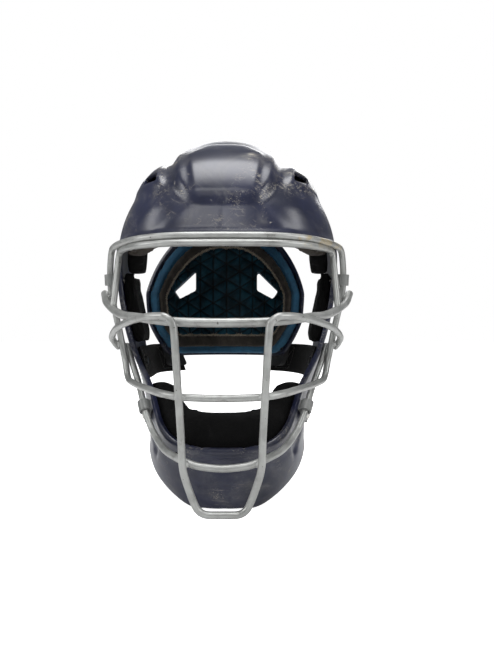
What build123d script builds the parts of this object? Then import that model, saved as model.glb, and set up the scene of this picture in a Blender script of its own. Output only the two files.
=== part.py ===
"""Baseball catcher helmet: moulded shell, bent wire cage, padding and sprung rear plate.

Millimetres. +Z up, -Y out through the face, +X to the right seen from the front.
The origin is the middle of the wearer's head, between the ears at eye level.
"""

import math
import os

from build123d import *

os.makedirs("parts", exist_ok=True)

# Head form that every moulded piece follows
HALF_WIDTH = 106.0
FRONT_REACH = 122.0
CROWN_HEIGHT = 138.0
CHIN_DROP = 194.0
FORM_MIDDLE = 8.0
SHELL_WALL = 4.0
OVERRUN = 60.0
FAR = FRONT_REACH + OVERRUN
HIGH = CROWN_HEIGHT + OVERRUN

# Level, half width, reach to the front and to the back, then how square each half is
FORM_SHARES = [
    (-1.031, 0.434, 0.918, 0.574, 2.60, 2.20),
    (-0.902, 0.656, 0.992, 0.738, 2.60, 2.30),
    (-0.696, 0.717, 1.066, 0.918, 2.60, 2.40),
    (-0.469, 0.821, 1.066, 1.049, 2.10, 2.70),
    (-0.247, 0.910, 1.049, 1.098, 2.75, 2.40),
    (0.000, 1.000, 1.008, 1.115, 2.70, 2.30),
    (0.362, 0.991, 0.967, 1.090, 3.00, 2.30),
    (0.688, 0.892, 0.803, 0.943, 2.80, 2.25),
    (0.848, 0.585, 0.533, 0.689, 2.40, 2.20),
    (0.971, 0.208, 0.180, 0.328, 2.20, 2.20),
]
FORM_STEPS = 10

# Face opening, seen from the side
BROW_EDGE = 29.0
TEMPLE_EDGE = 60.0
CHEEK_EDGE_SHARES = [(1.0, -0.12), (1.04, -0.245), (1.36, -0.469), (1.75, -0.634), (2.02, -0.700)]
CHIN_EDGE = 141.5
CHIN_EDGE_REACH = 133.0
TEMPLE_CORNER = 8.0
LIP_WIDTH = 7.0
LIP_PROUD = 2.0
LIP_SLANT = (0.75, 0.65)

# Lower and rear edges of the front shell, seen from the side
CHIN_BOTTOM = 193.5
CHIN_BOTTOM_REACH = 108.0
JAW_EDGE_SHARES = [(0.80, -0.935), (0.50, -0.815), (0.20, -0.640), (-0.02, -0.470)]
EAR_EDGE = 27.0
EAR_EDGE_LOW = 62.0
EAR_EDGE_HIGH = 26.0
NAPE_EDGE = 74.0
NAPE_EDGE_REACH = 92.0
NAPE_CORNER = 26.0

# Raised crown panel and side panels
PANEL_TOP_HALF = 56.0
PANEL_WAIST_HALF = 45.0
PANEL_FOOT_HALF = 30.0
PANEL_WAIST = 75.6
PANEL_FOOT = 57.6
PANEL_SHOULDER = 117.0
PANEL_PROUD = 4.6
PANEL_STEP = 3.2
PANEL_CORNER = 9.0
SIDE_PANEL_GAP = 7.0
SIDE_PANEL_FOOT = 68.0
SIDE_PANEL_PROUD = 2.2
SIDE_PANEL_CORNER = 12.0

# Side vents with a louvre ledge under each
VENT_WIDTH = 15.0
VENT_HEIGHT = 10.0
VENT_SIDE = 74.0
VENT_LEVEL = 87.0
VENT_CORNER = 2.0
LEDGE_HEIGHT = 3.0
LEDGE_PROUD = 2.6

# Chin guard: scoop between two creases, slots and side pockets
SCOOP_HALF = 24.0
SCOOP_FOOT_HALF = 17.0
SCOOP_TOP = 172.0
SCOOP_FOOT = 187.0
SCOOP_DEPTH = 1.6
SLOT_SIDE = 40.0
SLOT_LEVEL = 147.5
SLOT_WIDTH = 11.0
SLOT_HEIGHT = 3.4
POCKET_SIDE = 62.0
POCKET_LEVEL = 150.0
POCKET_WIDTH = 6.0
POCKET_HEIGHT = 14.0

# Cage wires
WIRE = 5.8
HEAVY_WIRE = 7.0
BEND_SHARE = 0.45
CAGE_HALF_WIDTH = 106.0
CAGE_REACH = 122.0
CAGE_DROP = 194.0
BROW_WIRE_SHARES = [
    (0.000, 1.049, 0.160), (0.396, 1.033, 0.160), (0.679, 0.934, 0.157), (0.887, 0.738, 0.152),
    (1.000, 0.508, 0.147), (1.024, 0.467, 0.041), (1.014, 0.463, -0.067), (0.967, 0.471, -0.170),
    (0.927, 0.488, -0.258), (0.896, 0.500, -0.340),
]
MID_BAR_SHARES = [
    (0.896, 0.500, -0.340), (0.877, 0.512, -0.381), (0.840, 0.574, -0.466), (0.717, 0.820, -0.474),
    (0.575, 1.049, -0.479), (0.462, 1.205, -0.485), (0.302, 1.286, -0.496), (0.000, 1.302, -0.500),
]
BROW_BAR_SHARES = [
    (0.000, 1.061, 0.128), (0.396, 1.045, 0.128), (0.660, 0.951, 0.127), (0.811, 0.803, 0.127),
    (0.901, 0.615, 0.131), (0.910, 0.656, 0.041), (0.925, 0.725, -0.122),
]
EYE_BAR_SHARES = [
    (0.000, 1.311, -0.206), (0.283, 1.303, -0.204), (0.472, 1.246, -0.196), (0.660, 1.107, -0.180),
    (0.774, 0.967, -0.174), (0.877, 0.820, -0.155), (0.972, 0.656, -0.126), (1.033, 0.549, -0.103),
    (1.085, 0.410, -0.059),
]
LOOP_SHARES = [
    (0.165, 1.270, -0.957), (0.233, 1.274, -0.867), (0.285, 1.280, -0.777), (0.288, 1.299, -0.660),
    (0.326, 1.361, -0.276),
    (0.338, 1.361, -0.205), (0.396, 1.355, -0.181), (0.515, 1.298, -0.180), (0.656, 1.183, -0.193),
    (0.792, 0.972, -0.211), (0.877, 0.820, -0.227), (0.948, 0.656, -0.251), (0.981, 0.566, -0.271),
    (0.972, 0.500, -0.296), (0.953, 0.467, -0.314),
]
JAW_WIRE_SHARES = [
    (0.870, 0.464, -0.309), (0.828, 0.488, -0.381), (0.752, 0.574, -0.474), (0.698, 0.680, -0.536),
    (0.651, 0.762, -0.603), (0.585, 0.844, -0.668),
]
LOWER_BAR_SHARES = [
    (0.585, 0.844, -0.668), (0.509, 0.943, -0.714), (0.429, 1.074, -0.737), (0.292, 1.236, -0.749),
    (0.189, 1.254, -0.768), (0.000, 1.258, -0.780),
]

# Padding, each piece a layer inside the shell; a seat is the share of the form it lies on
LAYER_GAP = 0.3
CROWN_FOAM = 12.0
PAD_SEAT = 0.985
CROWN_SEAT = 0.990
CROWN_FOAM_EDGE = 64.0
CROWN_FOAM_SIDE_REAR = 60.0
CROWN_FOAM_REAR = 96.0
CROWN_FOAM_REAR_EDGE = 82.0
CROWN_PAD = 12.0
CROWN_PAD_HALF = 34.0
CROWN_PAD_REACH = 46.0
CROWN_PAD_ROUND = 112.0
FOREHEAD_PAD = 19.0
FOREHEAD_PAD_TOP = 62.0
FOREHEAD_PAD_BACK = 50.0
FOREHEAD_PAD_RISE = 1.5
FOREHEAD_PAD_SLOPE_START = 104.0
FOREHEAD_PAD_SLOPE_END = 64.0
FOREHEAD_PAD_DROP = 6.5
TEMPLE_PAD = 17.0
TEMPLE_PAD_TOP = 44.0
TEMPLE_PAD_FOOT = 10.0
TEMPLE_PAD_BACK = 6.0
TEMPLE_PAD_SLOPE = 24.0
SIDE_PAD = 9.0
SIDE_PAD_FRONT = 52.0
SIDE_PAD_BACK = 16.0
SIDE_PAD_FOOT = 58.0
CHIN_PAD = 15.0
CHIN_PAD_SHARES = [
    (0.93, -0.560), (0.77, -0.468), (0.66, -0.470), (0.52, -0.530), (0.43, -0.620),
]
CHIN_PAD_DIP = 113.5
CHIN_PAD_FOOT = 160.0
CHIN_PAD_FOOT_BACK = 74.0

# Rear plate with its foam, border and liner, seen from the side
PLATE_SHIFT = -6.0
PLATE_AXIS = 32.4
PLATE_RADIUS = 94.6
PLATE_ARC = 340.0
PLATE_ARC_LEVEL = 5.0
PLATE_SPAN = 110.0
PLATE_WALL = 2.6
PLATE_FOAM = 8.0
PLATE_BORDER = 4.0
PLATE_LINER = 6.0
PLATE_TOP = 66.0
PLATE_TOP_FRONT = 101.0
PLATE_WING_FRONT = 61.0
PLATE_WING_HIGH = -4.0
PLATE_WING_LOW = -36.0
PLATE_FOOT_FRONT = 84.0
PLATE_FOOT = 76.0
PLATE_CORNER = 14.0
PLATE_FOAM_RIM = 2.5
PLATE_BORDER_RIM = 5.0
PLATE_BORDER_FOOT = 11.5
PLATE_LINER_RIM = 11.0
PLATE_LINER_FOOT = 25.0
PLATE_VENT_LOW = -9.0
PLATE_VENT_HIGH = 27.0
PLATE_VENT_INNER = 37.0
PLATE_VENT_OUTER = 62.0
PLATE_VENT_SHARES = [(0.0, 1.0), (0.0, 0.31), (0.75, 0.0), (1.0, 0.27)]
PLATE_VENT_CORNER = 1.5

# Straps and what holds them
STRAP_THICK = 2.0
SIDE_STRAP_HEIGHT = 33.0
SIDE_STRAP_LEVEL = -78.0
SIDE_STRAP_LEVELS = 2
SIDE_STRAP_WING_SPOTS = [-36.0, -10.0, 20.0]
SIDE_STRAP_PLATE_SPOTS = [86.0, 94.0, 103.0]
SIDE_STRAP_RIVET = -8.0
ANCHOR_RIVET_LEVEL = -68.0
CROWN_STRAP_WIDTH = 40.0
CROWN_STRAP_PLATE_SPOTS = [20.0, 12.0, 4.0]
CROWN_STRAP_SHELL_SPOTS = [3.0, 10.0, 18.0]
CROWN_RIVET_SIDE = 11.0
CROWN_RIVET_LAP = 10.0
ANCHOR_THICK = 4.0
ANCHOR_FRONT = 84.0
ANCHOR_BACK = 100.0
ANCHOR_TOP = 58.0
ANCHOR_FOOT = 88.0
RIVET_HEAD = 9.0
RIVET_HEAD_THICK = 1.4
RIVET_SHANK = 4.0

# Cage clips, each a ring on a wire with a tail screwed to the shell
CLIP_THICK = 1.8
CLIP_WIDTH = 10.0
CLIP_TAIL = 19.0
CLIP_TEMPLE_LEVEL = 1.0
CLIP_JAW_LEVEL = -112.0
CLIP_SCREW = 4.0
CLIP_SCREW_HEAD = 7.6
CLIP_SCREW_HEAD_THICK = 2.0
CLIP_NUT = 10.0
CLIP_NUT_THICK = 1.6
CLIP_NUT_SEAT = 1.0
CLIP_SEAT = 0.7
FIT_CLEARANCE = 0.2
RING_CLEARANCE = 0.5


def form_spot(angle, half, front, rear, front_square, rear_square):
    """Point of one level of the form, at an angle from +X."""
    across, along = math.cos(angle), math.sin(angle)
    reach, square = (rear, rear_square) if along > 0 else (front, front_square)
    stretch = (abs(across / half) ** square + abs(along / reach) ** square) ** (-1 / square)
    return (across * stretch, FORM_MIDDLE + along * stretch)


def form_levels():
    """Levels of the form in real sizes: height, half width, front and rear reach, squareness."""
    levels = []
    for level, half, front, rear, front_square, rear_square in FORM_SHARES:
        height = level * (CROWN_HEIGHT if level > 0 else CHIN_DROP)
        half = half * HALF_WIDTH
        front = front * FRONT_REACH + FORM_MIDDLE
        rear = rear * FRONT_REACH - FORM_MIDDLE
        levels.append((height, half, front, rear, front_square, rear_square))
    return levels


def head_form(inset):
    """Closed solid of the head form, drawn in by inset: along its normals in the dome, else level."""
    levels = form_levels()
    apex = (CROWN_HEIGHT, 0, 0, 0)
    steps = [step / FORM_STEPS for step in range(FORM_STEPS + 1)]
    sections = []
    for index, (height, half, front, rear, front_square, rear_square) in enumerate(levels):
        below = levels[max(index - 1, 0)]
        above = levels[index + 1] if index + 1 < len(levels) else apex
        rise = above[0] - below[0]
        lean = (sum(above[1:4]) - sum(below[1:4])) / 3 / rise
        slope = math.hypot(1, lean)
        if height > 0:
            height += inset * lean / slope
            draw = inset / slope
        else:
            draw = inset * slope
        sizes = [size - draw for size in (half, front, rear)]
        right = [
            form_spot(math.pi * (step - 1 / 2), *sizes, front_square, rear_square)
            for step in steps
        ]
        left = [(-x, y) for x, y in right]
        with BuildSketch(Plane.XY.offset(height)) as section:
            with BuildLine():
                add(Edge.make_spline(right, [(1, 0), (-1, 0)], parameters=steps))
                add(Edge.make_spline(left, [(-1, 0), (1, 0)], parameters=steps))
            make_face()
        sections.append(section.sketch.faces()[0])
    with BuildPart() as form:
        loft(sections + [Vertex(0, FORM_MIDDLE, CROWN_HEIGHT - inset)])
    return form.part


forms = {}


def form(inset):
    """The head form at an inset, made once."""
    if inset not in forms:
        forms[inset] = head_form(inset)
    return forms[inset]


def across(profile):
    """Block of a side profile that runs through the helmet from ear to ear."""
    with BuildPart() as block:
        add(Location((-HALF_WIDTH - OVERRUN, 0, 0)) * profile)
        extrude(amount=2 * (HALF_WIDTH + OVERRUN), dir=(1, 0, 0))
    return block.part


def forward(profile, start, end):
    """Block of a front profile from one depth to another."""
    with BuildPart() as block:
        add(Location((0, start, 0)) * profile)
        extrude(amount=start - end, dir=(0, -1, 0))
    return block.part


def layer(outer, inner, *limits):
    """Layer of the form between two insets, kept where all the limits meet."""
    with BuildPart() as piece:
        add(form(outer))
        for limit in limits:
            add(limit, mode=Mode.INTERSECT)
        add(form(inner), mode=Mode.SUBTRACT)
    return piece.part


def plate_depth(inset, level):
    """How far behind its axis the plate's barrel form stands at a level."""
    arc = PLATE_ARC - inset
    return PLATE_RADIUS - PLATE_ARC + math.sqrt(arc ** 2 - (level - PLATE_ARC_LEVEL) ** 2)


def plate_spot(inset, level, across=0.0, depth=None):
    """Plane on the plate's form, facing out, at a distance across or at a depth."""
    reach = plate_depth(inset, level)
    if depth is not None:
        across = math.sqrt(reach ** 2 - (depth - PLATE_AXIS) ** 2)
    behind = math.sqrt(reach ** 2 - across ** 2)
    lean = (level - PLATE_ARC_LEVEL) / (PLATE_ARC - inset)
    return Plane(
        origin=(PLATE_SHIFT + across, PLATE_AXIS + behind, level),
        z_dir=(across / reach, behind / reach, lean),
    )


def turned(profile):
    """Profile at the back of the helmet turned about the plate's upright axis."""
    with BuildPart() as ring:
        add(profile)
        revolve(axis=Axis((0, PLATE_AXIS, 0), (0, 0, 1)))
    return ring.part


def plate_layer(outer, inner, *limits):
    """Layer of the plate's barrel form between two insets, kept where all the limits meet."""
    with BuildSketch(Plane.YZ) as profile:
        with BuildLine():
            edges = []
            for inset in (outer, inner):
                spots = [
                    (PLATE_AXIS + plate_depth(inset, level), level)
                    for level in (-PLATE_SPAN, PLATE_ARC_LEVEL, PLATE_SPAN)
                ]
                edges.append(ThreePointArc(*spots))
            Line(edges[0] @ 0, edges[1] @ 0)
            Line(edges[0] @ 1, edges[1] @ 1)
        make_face()
    with BuildPart() as piece:
        add(turned(profile.sketch))
        for limit in limits:
            add(limit, mode=Mode.INTERSECT)
    return piece.part


def side_outline(*spots):
    """Side profile through straight runs, as (y, z) pairs."""
    with BuildSketch(Plane.YZ) as outline:
        with BuildLine():
            Polyline(*spots, close=True)
        make_face()
    return outline.sketch


def front_outline(spots, corner):
    """Front profile with rounded corners, as (x, z) pairs."""
    with BuildSketch(Plane.XZ) as outline:
        with BuildLine():
            FilletPolyline(*spots, radius=corner, close=True)
        make_face()
    return outline.sketch


def right_half():
    """Block that keeps the right side of the helmet."""
    with BuildPart() as block:
        with Locations((LAYER_GAP, 0, 0)):
            Box(
                HALF_WIDTH + OVERRUN, 4 * (FRONT_REACH + OVERRUN), 4 * (CHIN_DROP + OVERRUN),
                align=(Align.MIN, Align.CENTER, Align.CENTER),
            )
    return block.part


def mirrored(piece):
    """The same piece on the other side."""
    with BuildPart() as twin:
        add(mirror(piece, about=Plane.YZ, mode=Mode.PRIVATE))
    return twin.part


def save(piece, name):
    """Label a finished piece and write it."""
    piece.label = name
    export_step(piece, f"parts/{name}.step")


def route(shares, side=1):
    """Places along a wire, from shares of the cage's half width, reach and drop."""
    return [
        (side * x * CAGE_HALF_WIDTH, -y * CAGE_REACH, z * CAGE_DROP) for x, y, z in shares
    ]


def both_sides(shares):
    """Route that runs from the left side through the middle to the right side."""
    right = route(shares)
    left = route(shares, side=-1)
    if shares[0][0] == 0:
        return left[:0:-1] + right
    return left[::-1] + right


def bend_radii(spots):
    """Largest tangent arc that each corner's two runs allow."""
    radii = []
    for before, corner, after in zip(spots, spots[1:], spots[2:]):
        arriving = Vector(*corner) - Vector(*before)
        leaving = Vector(*after) - Vector(*corner)
        turn = math.radians(arriving.get_angle(leaving))
        radii.append(BEND_SHARE * min(arriving.length, leaving.length) / math.tan(turn / 2))
    return radii


def bent_wire(spots, diameter):
    """Round wire bent along straight runs and tangent arcs."""
    with BuildPart() as wire:
        with BuildLine() as line:
            FilletPolyline(*spots, radius=bend_radii(spots))
        with BuildSketch(Plane(origin=line.line @ 0, z_dir=line.line % 0)):
            Circle(diameter / 2)
        sweep()
    return wire.part


def on_skin(inset, start, direction):
    """Point and outward normal where a line from inside leaves the form's skin."""
    outward = Vector(*direction)
    hits = form(inset).shell().find_intersection_points(Axis(start, direction))
    point, normal = max(hits, key=lambda hit: hit[0].dot(outward))
    return point, normal if normal.dot(outward) > 0 else -normal


def between(spots, level):
    """Place where a route passes a level, and its direction there."""
    for low, high in zip(spots, spots[1:]):
        if min(low[2], high[2]) <= level <= max(low[2], high[2]):
            step = Vector(*high) - Vector(*low)
            return Vector(*low) + step * ((level - low[2]) / step.Z), step.normalized()
    raise ValueError("the route does not pass that level")


def cage_clip(spots, level):
    """Ring on a wire with a tail along the shell; returns it with its screw's plane."""
    centre, along = between(spots, level)
    side = math.copysign(1, centre.X)
    rim_spot, outward = on_skin(-LIP_PROUD, (0, centre.Y, centre.Z), (side, 0, 0))
    outward = (outward - along * outward.dot(along)).normalized()
    if along.Z < 0:
        along = -along
    tail_way = along.cross(outward) * side
    base = Plane(origin=centre, x_dir=tail_way, z_dir=tail_way.cross(outward))
    rise = (centre - rim_spot).dot(outward) - CLIP_SEAT
    ring = WIRE / 2 + RING_CLEARANCE
    with BuildPart() as clip:
        with BuildSketch(base):
            with Locations((0, -rise)):
                Rectangle(CLIP_TAIL, CLIP_THICK, align=(Align.MIN, Align.MIN))
            Rectangle(ring + CLIP_THICK, rise, align=(Align.CENTER, Align.MAX))
            Circle(ring + CLIP_THICK)
            Circle(ring, mode=Mode.SUBTRACT)
        extrude(amount=CLIP_WIDTH / 2, both=True)
    seat = centre + tail_way * (CLIP_TAIL - CLIP_WIDTH / 2) - outward * (rise - CLIP_THICK)
    return clip.part, Plane(origin=seat, z_dir=outward)


def screw(seat, length):
    """Pan head screw that stands on a plane and reaches down through it."""
    with BuildPart() as fastener:
        with BuildSketch(seat):
            Circle(CLIP_SCREW_HEAD / 2)
        extrude(amount=CLIP_SCREW_HEAD_THICK)
        head_top = fastener.faces().sort_by(Axis(seat.origin, seat.z_dir))[-1]
        fillet(head_top.edges(), CLIP_SCREW_HEAD_THICK / 2)
        with BuildSketch(seat):
            Circle(CLIP_SCREW / 2)
        extrude(amount=-length)
    return fastener.part


def rod(seat, radius, top, bottom):
    """Round rod along a plane's normal, from one height to another."""
    with BuildPart() as piece:
        with BuildSketch(seat.offset(bottom)):
            Circle(radius)
        extrude(amount=top - bottom)
    return piece.part


def rivet(seat, grip):
    """Rivet with a flat head on each side of what it grips."""
    with BuildPart() as fastener:
        add(rod(seat, RIVET_HEAD / 2, RIVET_HEAD_THICK, 0))
        add(rod(seat, RIVET_SHANK / 2, 0, -grip))
        add(rod(seat, RIVET_HEAD / 2, -grip, -grip - RIVET_HEAD_THICK))
    return fastener.part


def joined(pieces):
    """Like pieces kept together as one group of separate solids."""
    return Compound(children=list(pieces))


def cut(piece, *tools):
    """Piece with tools taken out of it."""
    with BuildPart() as result:
        add(piece)
        for tool in tools:
            add(tool, mode=Mode.SUBTRACT)
    return result.part


keep_right = right_half()


def opening_zone(margin):
    """Block of the face opening: brow and temple edges, then one sweep down the cheek to the chin."""
    cheek = [
        (-TEMPLE_EDGE * y + LIP_SLANT[0] * margin, CHIN_DROP * z - LIP_SLANT[1] * margin)
        for y, z in CHEEK_EDGE_SHARES
    ]
    temple = -TEMPLE_EDGE + margin
    chin = -CHIN_EDGE - margin
    with BuildSketch(Plane.YZ) as opening:
        with BuildLine():
            sweep_down = Spline(
                (temple, cheek[0][1]), *cheek[1:], (-CHIN_EDGE_REACH, chin),
                tangents=[(0, -1), (-1, 0)],
            )
            Polyline(sweep_down @ 1, (-FAR, chin), (-FAR, BROW_EDGE + margin))
            FilletPolyline(
                (-FAR, BROW_EDGE + margin), (temple, BROW_EDGE + margin), sweep_down @ 0,
                radius=TEMPLE_CORNER + margin,
            )
        make_face()
    return across(opening.sketch)


opening_block = opening_zone(0)
rim_block = opening_zone(LIP_WIDTH)

# What the front shell keeps, seen from the side: chin, jaw wing, ear edge and nape edge
with BuildSketch(Plane.YZ) as reach:
    with BuildLine():
        jaw = [(-CHIN_BOTTOM_REACH * y, CHIN_DROP * z) for y, z in JAW_EDGE_SHARES]
        jaw_edge = Spline(
            (-CHIN_BOTTOM_REACH, -CHIN_BOTTOM), *jaw, (EAR_EDGE, -EAR_EDGE_LOW),
            tangents=[(1, 0), (0, 1)],
        )
        ear_edge = FilletPolyline(
            jaw_edge @ 1, (EAR_EDGE, EAR_EDGE_HIGH), (NAPE_EDGE_REACH, NAPE_EDGE), (FAR, NAPE_EDGE),
            radius=NAPE_CORNER,
        )
        Polyline(ear_edge @ 1, (FAR, HIGH), (-FAR, HIGH), (-FAR, -CHIN_BOTTOM), jaw_edge @ 0)
    make_face()
reach_block = across(reach.sketch)

# Raised crown panel in two steps, and the side panels beside it
panel_spots = [
    (-PANEL_FOOT_HALF, PANEL_FOOT), (PANEL_FOOT_HALF, PANEL_FOOT), (PANEL_WAIST_HALF, PANEL_WAIST),
    (PANEL_TOP_HALF, PANEL_SHOULDER), (PANEL_TOP_HALF, HIGH),
    (-PANEL_TOP_HALF, HIGH), (-PANEL_TOP_HALF, PANEL_SHOULDER), (-PANEL_WAIST_HALF, PANEL_WAIST),
]
panel_foot = front_outline(panel_spots, PANEL_CORNER)
with BuildSketch(Plane.XZ) as panel_top:
    with BuildLine():
        FilletPolyline(*panel_spots, radius=PANEL_CORNER, close=True)
    make_face()
    offset(amount=-PANEL_STEP)
crown_step = layer(
    -PANEL_PROUD / 2, SHELL_WALL / 2, reach_block, forward(panel_foot, FAR, -FAR)
)
crown_panel = layer(
    -PANEL_PROUD, SHELL_WALL / 2, reach_block, forward(panel_top.sketch, FAR, -FAR)
)
side_top = PANEL_TOP_HALF + SIDE_PANEL_GAP
side_foot = PANEL_WAIST_HALF + SIDE_PANEL_GAP
side_spots = [
    (side_foot, SIDE_PANEL_FOOT), (HALF_WIDTH + OVERRUN, SIDE_PANEL_FOOT),
    (HALF_WIDTH + OVERRUN, HIGH), (side_top, HIGH), (side_top, PANEL_SHOULDER),
]
side_panel = layer(
    -SIDE_PANEL_PROUD, SHELL_WALL / 2, reach_block,
    forward(front_outline(side_spots, SIDE_PANEL_CORNER / 2), FAR, -FAR),
)

# Cage clips at the temples and jaws, with the depth of the shell under each screw
clips = {}
for side, side_name in ((1, "right"), (-1, "left")):
    clips[f"temple_clip_{side_name}"] = cage_clip(route(BROW_WIRE_SHARES, side), CLIP_TEMPLE_LEVEL)
    clips[f"jaw_clip_{side_name}"] = cage_clip(route(JAW_WIRE_SHARES, side), CLIP_JAW_LEVEL)
clip_screws, clip_nuts, nut_holes, nut_pockets = [], [], [], []
for clip_name, (clip, seat) in clips.items():
    below, normal = on_skin(0, seat.origin, seat.z_dir)
    drop = (seat.origin - below).dot(seat.z_dir)
    nut_top = -drop - SHELL_WALL - CLIP_NUT_SEAT
    barrel = CLIP_SCREW / 2 + CLIP_THICK / 2
    with BuildPart() as finished_clip:
        add(clip)
        add(rod(seat, CLIP_WIDTH / 2 - FIT_CLEARANCE, -CLIP_THICK / 2, CLIP_SEAT - drop))
        add(rod(seat, CLIP_SCREW / 2 + FIT_CLEARANCE, drop, -2 * drop), mode=Mode.SUBTRACT)
    save(finished_clip.part, clip_name)
    clip_screws.append(screw(seat, -nut_top + CLIP_NUT_THICK))
    with BuildPart() as nut:
        add(rod(seat, CLIP_NUT / 2, nut_top, nut_top - CLIP_NUT_THICK))
        add(rod(seat, barrel, nut_top + SHELL_WALL / 2, nut_top))
        add(rod(seat, CLIP_SCREW / 2, drop, 2 * nut_top), mode=Mode.SUBTRACT)
    clip_nuts.append(nut.part)
    nut_holes.append(rod(seat, barrel + FIT_CLEARANCE, drop, 2 * nut_top))
    pocket_top = nut_top + 2 * CLIP_NUT_THICK
    nut_pockets.append(rod(seat, CLIP_NUT / 2 + LAYER_GAP, pocket_top, nut_top - 2 * CLIP_NUT_THICK))
save(joined(clip_screws), "clip_screws")
save(joined(clip_nuts), "clip_nuts")

# Rivets that hold the straps to the shell and to the rear plate
strap_grip = STRAP_THICK + LAYER_GAP
rivet_bore = RIVET_SHANK / 2 + FIT_CLEARANCE
wing_rivets, anchor_rivets, crown_rivets, plate_rivets = [], [], [], []
rivet_holes, pockets_in_foam = [], []


def place_rivet(group, seat, grip):
    """Rivet whose outer head stands just off a plane; adds its hole and its pocket in foam."""
    seat = seat.offset(LAYER_GAP)
    group.append(rivet(seat, grip))
    rivet_holes.append(rod(seat, rivet_bore, RIVET_HEAD, -grip - RIVET_HEAD))
    pockets_in_foam.append(
        rod(seat, RIVET_HEAD / 2 + LAYER_GAP, LAYER_GAP - grip, -grip - RIVET_HEAD_THICK - LAYER_GAP)
    )


def skin_plane(start, direction, proud=0.0):
    """Plane on the shell's outer skin, or proud of it, where a line from inside leaves it."""
    spot, normal = on_skin(-proud, start, direction)
    return Plane(origin=spot, z_dir=normal)


wing_grip = SHELL_WALL + strap_grip + 3 * LAYER_GAP
crown_grip = wing_grip + PANEL_PROUD + STRAP_THICK / 2
strap_seat = -LAYER_GAP - ANCHOR_THICK - strap_grip
anchor_grip = PLATE_WALL - strap_seat + 2 * LAYER_GAP
plate_grip = strap_grip + PLATE_WALL + 2 * LAYER_GAP
crown_high = NAPE_EDGE + CROWN_RIVET_LAP
crown_low = PLATE_TOP - CROWN_RIVET_LAP
anchor_middle = (ANCHOR_FRONT + ANCHOR_BACK) / 2
for side in (1, -1):
    wing_seat = skin_plane((0, SIDE_STRAP_RIVET, SIDE_STRAP_LEVEL), (side, 0, 0))
    place_rivet(wing_rivets, wing_seat, wing_grip)
    seat = plate_spot(strap_seat, ANCHOR_RIVET_LEVEL, depth=anchor_middle)
    if side < 0:
        turn = 2 * PLATE_SHIFT - seat.origin.X
        seat = Plane(
            origin=(turn, seat.origin.Y, seat.origin.Z),
            z_dir=(-seat.z_dir.X, seat.z_dir.Y, seat.z_dir.Z),
        )
    place_rivet(anchor_rivets, seat, anchor_grip)
    beside = side * CROWN_RIVET_SIDE
    crown_seat = skin_plane((PLATE_SHIFT + beside, 0, crown_high), (0, 1, 0), PANEL_PROUD)
    place_rivet(crown_rivets, crown_seat, crown_grip)
    place_rivet(plate_rivets, plate_spot(-strap_grip, crown_low, across=beside), plate_grip)
save(joined(wing_rivets), "wing_rivets")
save(joined(anchor_rivets), "anchor_rivets")
save(joined(crown_rivets), "crown_rivets")
save(joined(plate_rivets), "plate_rivets")

# Front shell
with BuildSketch(Plane.XZ) as vents:
    with Locations((VENT_SIDE, VENT_LEVEL), (-VENT_SIDE, VENT_LEVEL)):
        RectangleRounded(VENT_WIDTH, VENT_HEIGHT, VENT_CORNER)
with BuildSketch(Plane.XZ) as ledges:
    ledge_level = VENT_LEVEL - VENT_HEIGHT / 2 - LEDGE_HEIGHT
    with Locations((VENT_SIDE, ledge_level), (-VENT_SIDE, ledge_level)):
        RectangleRounded(VENT_WIDTH * 2, LEDGE_HEIGHT, LEDGE_HEIGHT / 3)
ledge_strip = layer(
    -SIDE_PANEL_PROUD - LEDGE_PROUD, SHELL_WALL / 2, forward(ledges.sketch, 0, -FAR)
)
with BuildSketch(Plane.XZ) as scoop:
    with BuildLine():
        Polyline(
            (-SCOOP_HALF, -SCOOP_TOP), (SCOOP_HALF, -SCOOP_TOP),
            (SCOOP_FOOT_HALF, -SCOOP_FOOT), (-SCOOP_FOOT_HALF, -SCOOP_FOOT), close=True,
        )
    make_face()
with BuildSketch(Plane.XZ) as slots:
    with Locations((SLOT_SIDE, -SLOT_LEVEL), (-SLOT_SIDE, -SLOT_LEVEL)):
        SlotOverall(SLOT_WIDTH, SLOT_HEIGHT)
with BuildSketch(Plane.XZ) as pockets:
    with Locations((POCKET_SIDE, -POCKET_LEVEL), (-POCKET_SIDE, -POCKET_LEVEL)):
        Triangle(a=POCKET_WIDTH, b=POCKET_HEIGHT, c=POCKET_HEIGHT)
scoop_cut = layer(
    -PANEL_PROUD, SCOOP_DEPTH, forward(scoop.sketch, 0, -FAR)
)
pocket_cut = layer(
    -PANEL_PROUD, SCOOP_DEPTH, forward(pockets.sketch, 0, -FAR)
)
lip = cut(layer(-LIP_PROUD, SHELL_WALL / 2, rim_block, reach_block), opening_block)

# Built up as a full form first, so that the inside is one cut and one surface
with BuildPart() as front_shell:
    add(reach_block)
    add(form(0), mode=Mode.INTERSECT)
    add(side_panel)
    add(mirrored(side_panel))
    add(crown_step)
    add(crown_panel)
    add(ledge_strip)
    add(opening_block, mode=Mode.SUBTRACT)
    add(lip)
    add(forward(vents.sketch, 0, -FAR), mode=Mode.SUBTRACT)
    add(forward(slots.sketch, 0, -FAR), mode=Mode.SUBTRACT)
    add(scoop_cut, mode=Mode.SUBTRACT)
    add(pocket_cut, mode=Mode.SUBTRACT)
    add(form(SHELL_WALL), mode=Mode.SUBTRACT)
    for hole in nut_holes + rivet_holes:
        add(hole, mode=Mode.SUBTRACT)
save(front_shell.part, "front_shell")


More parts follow.
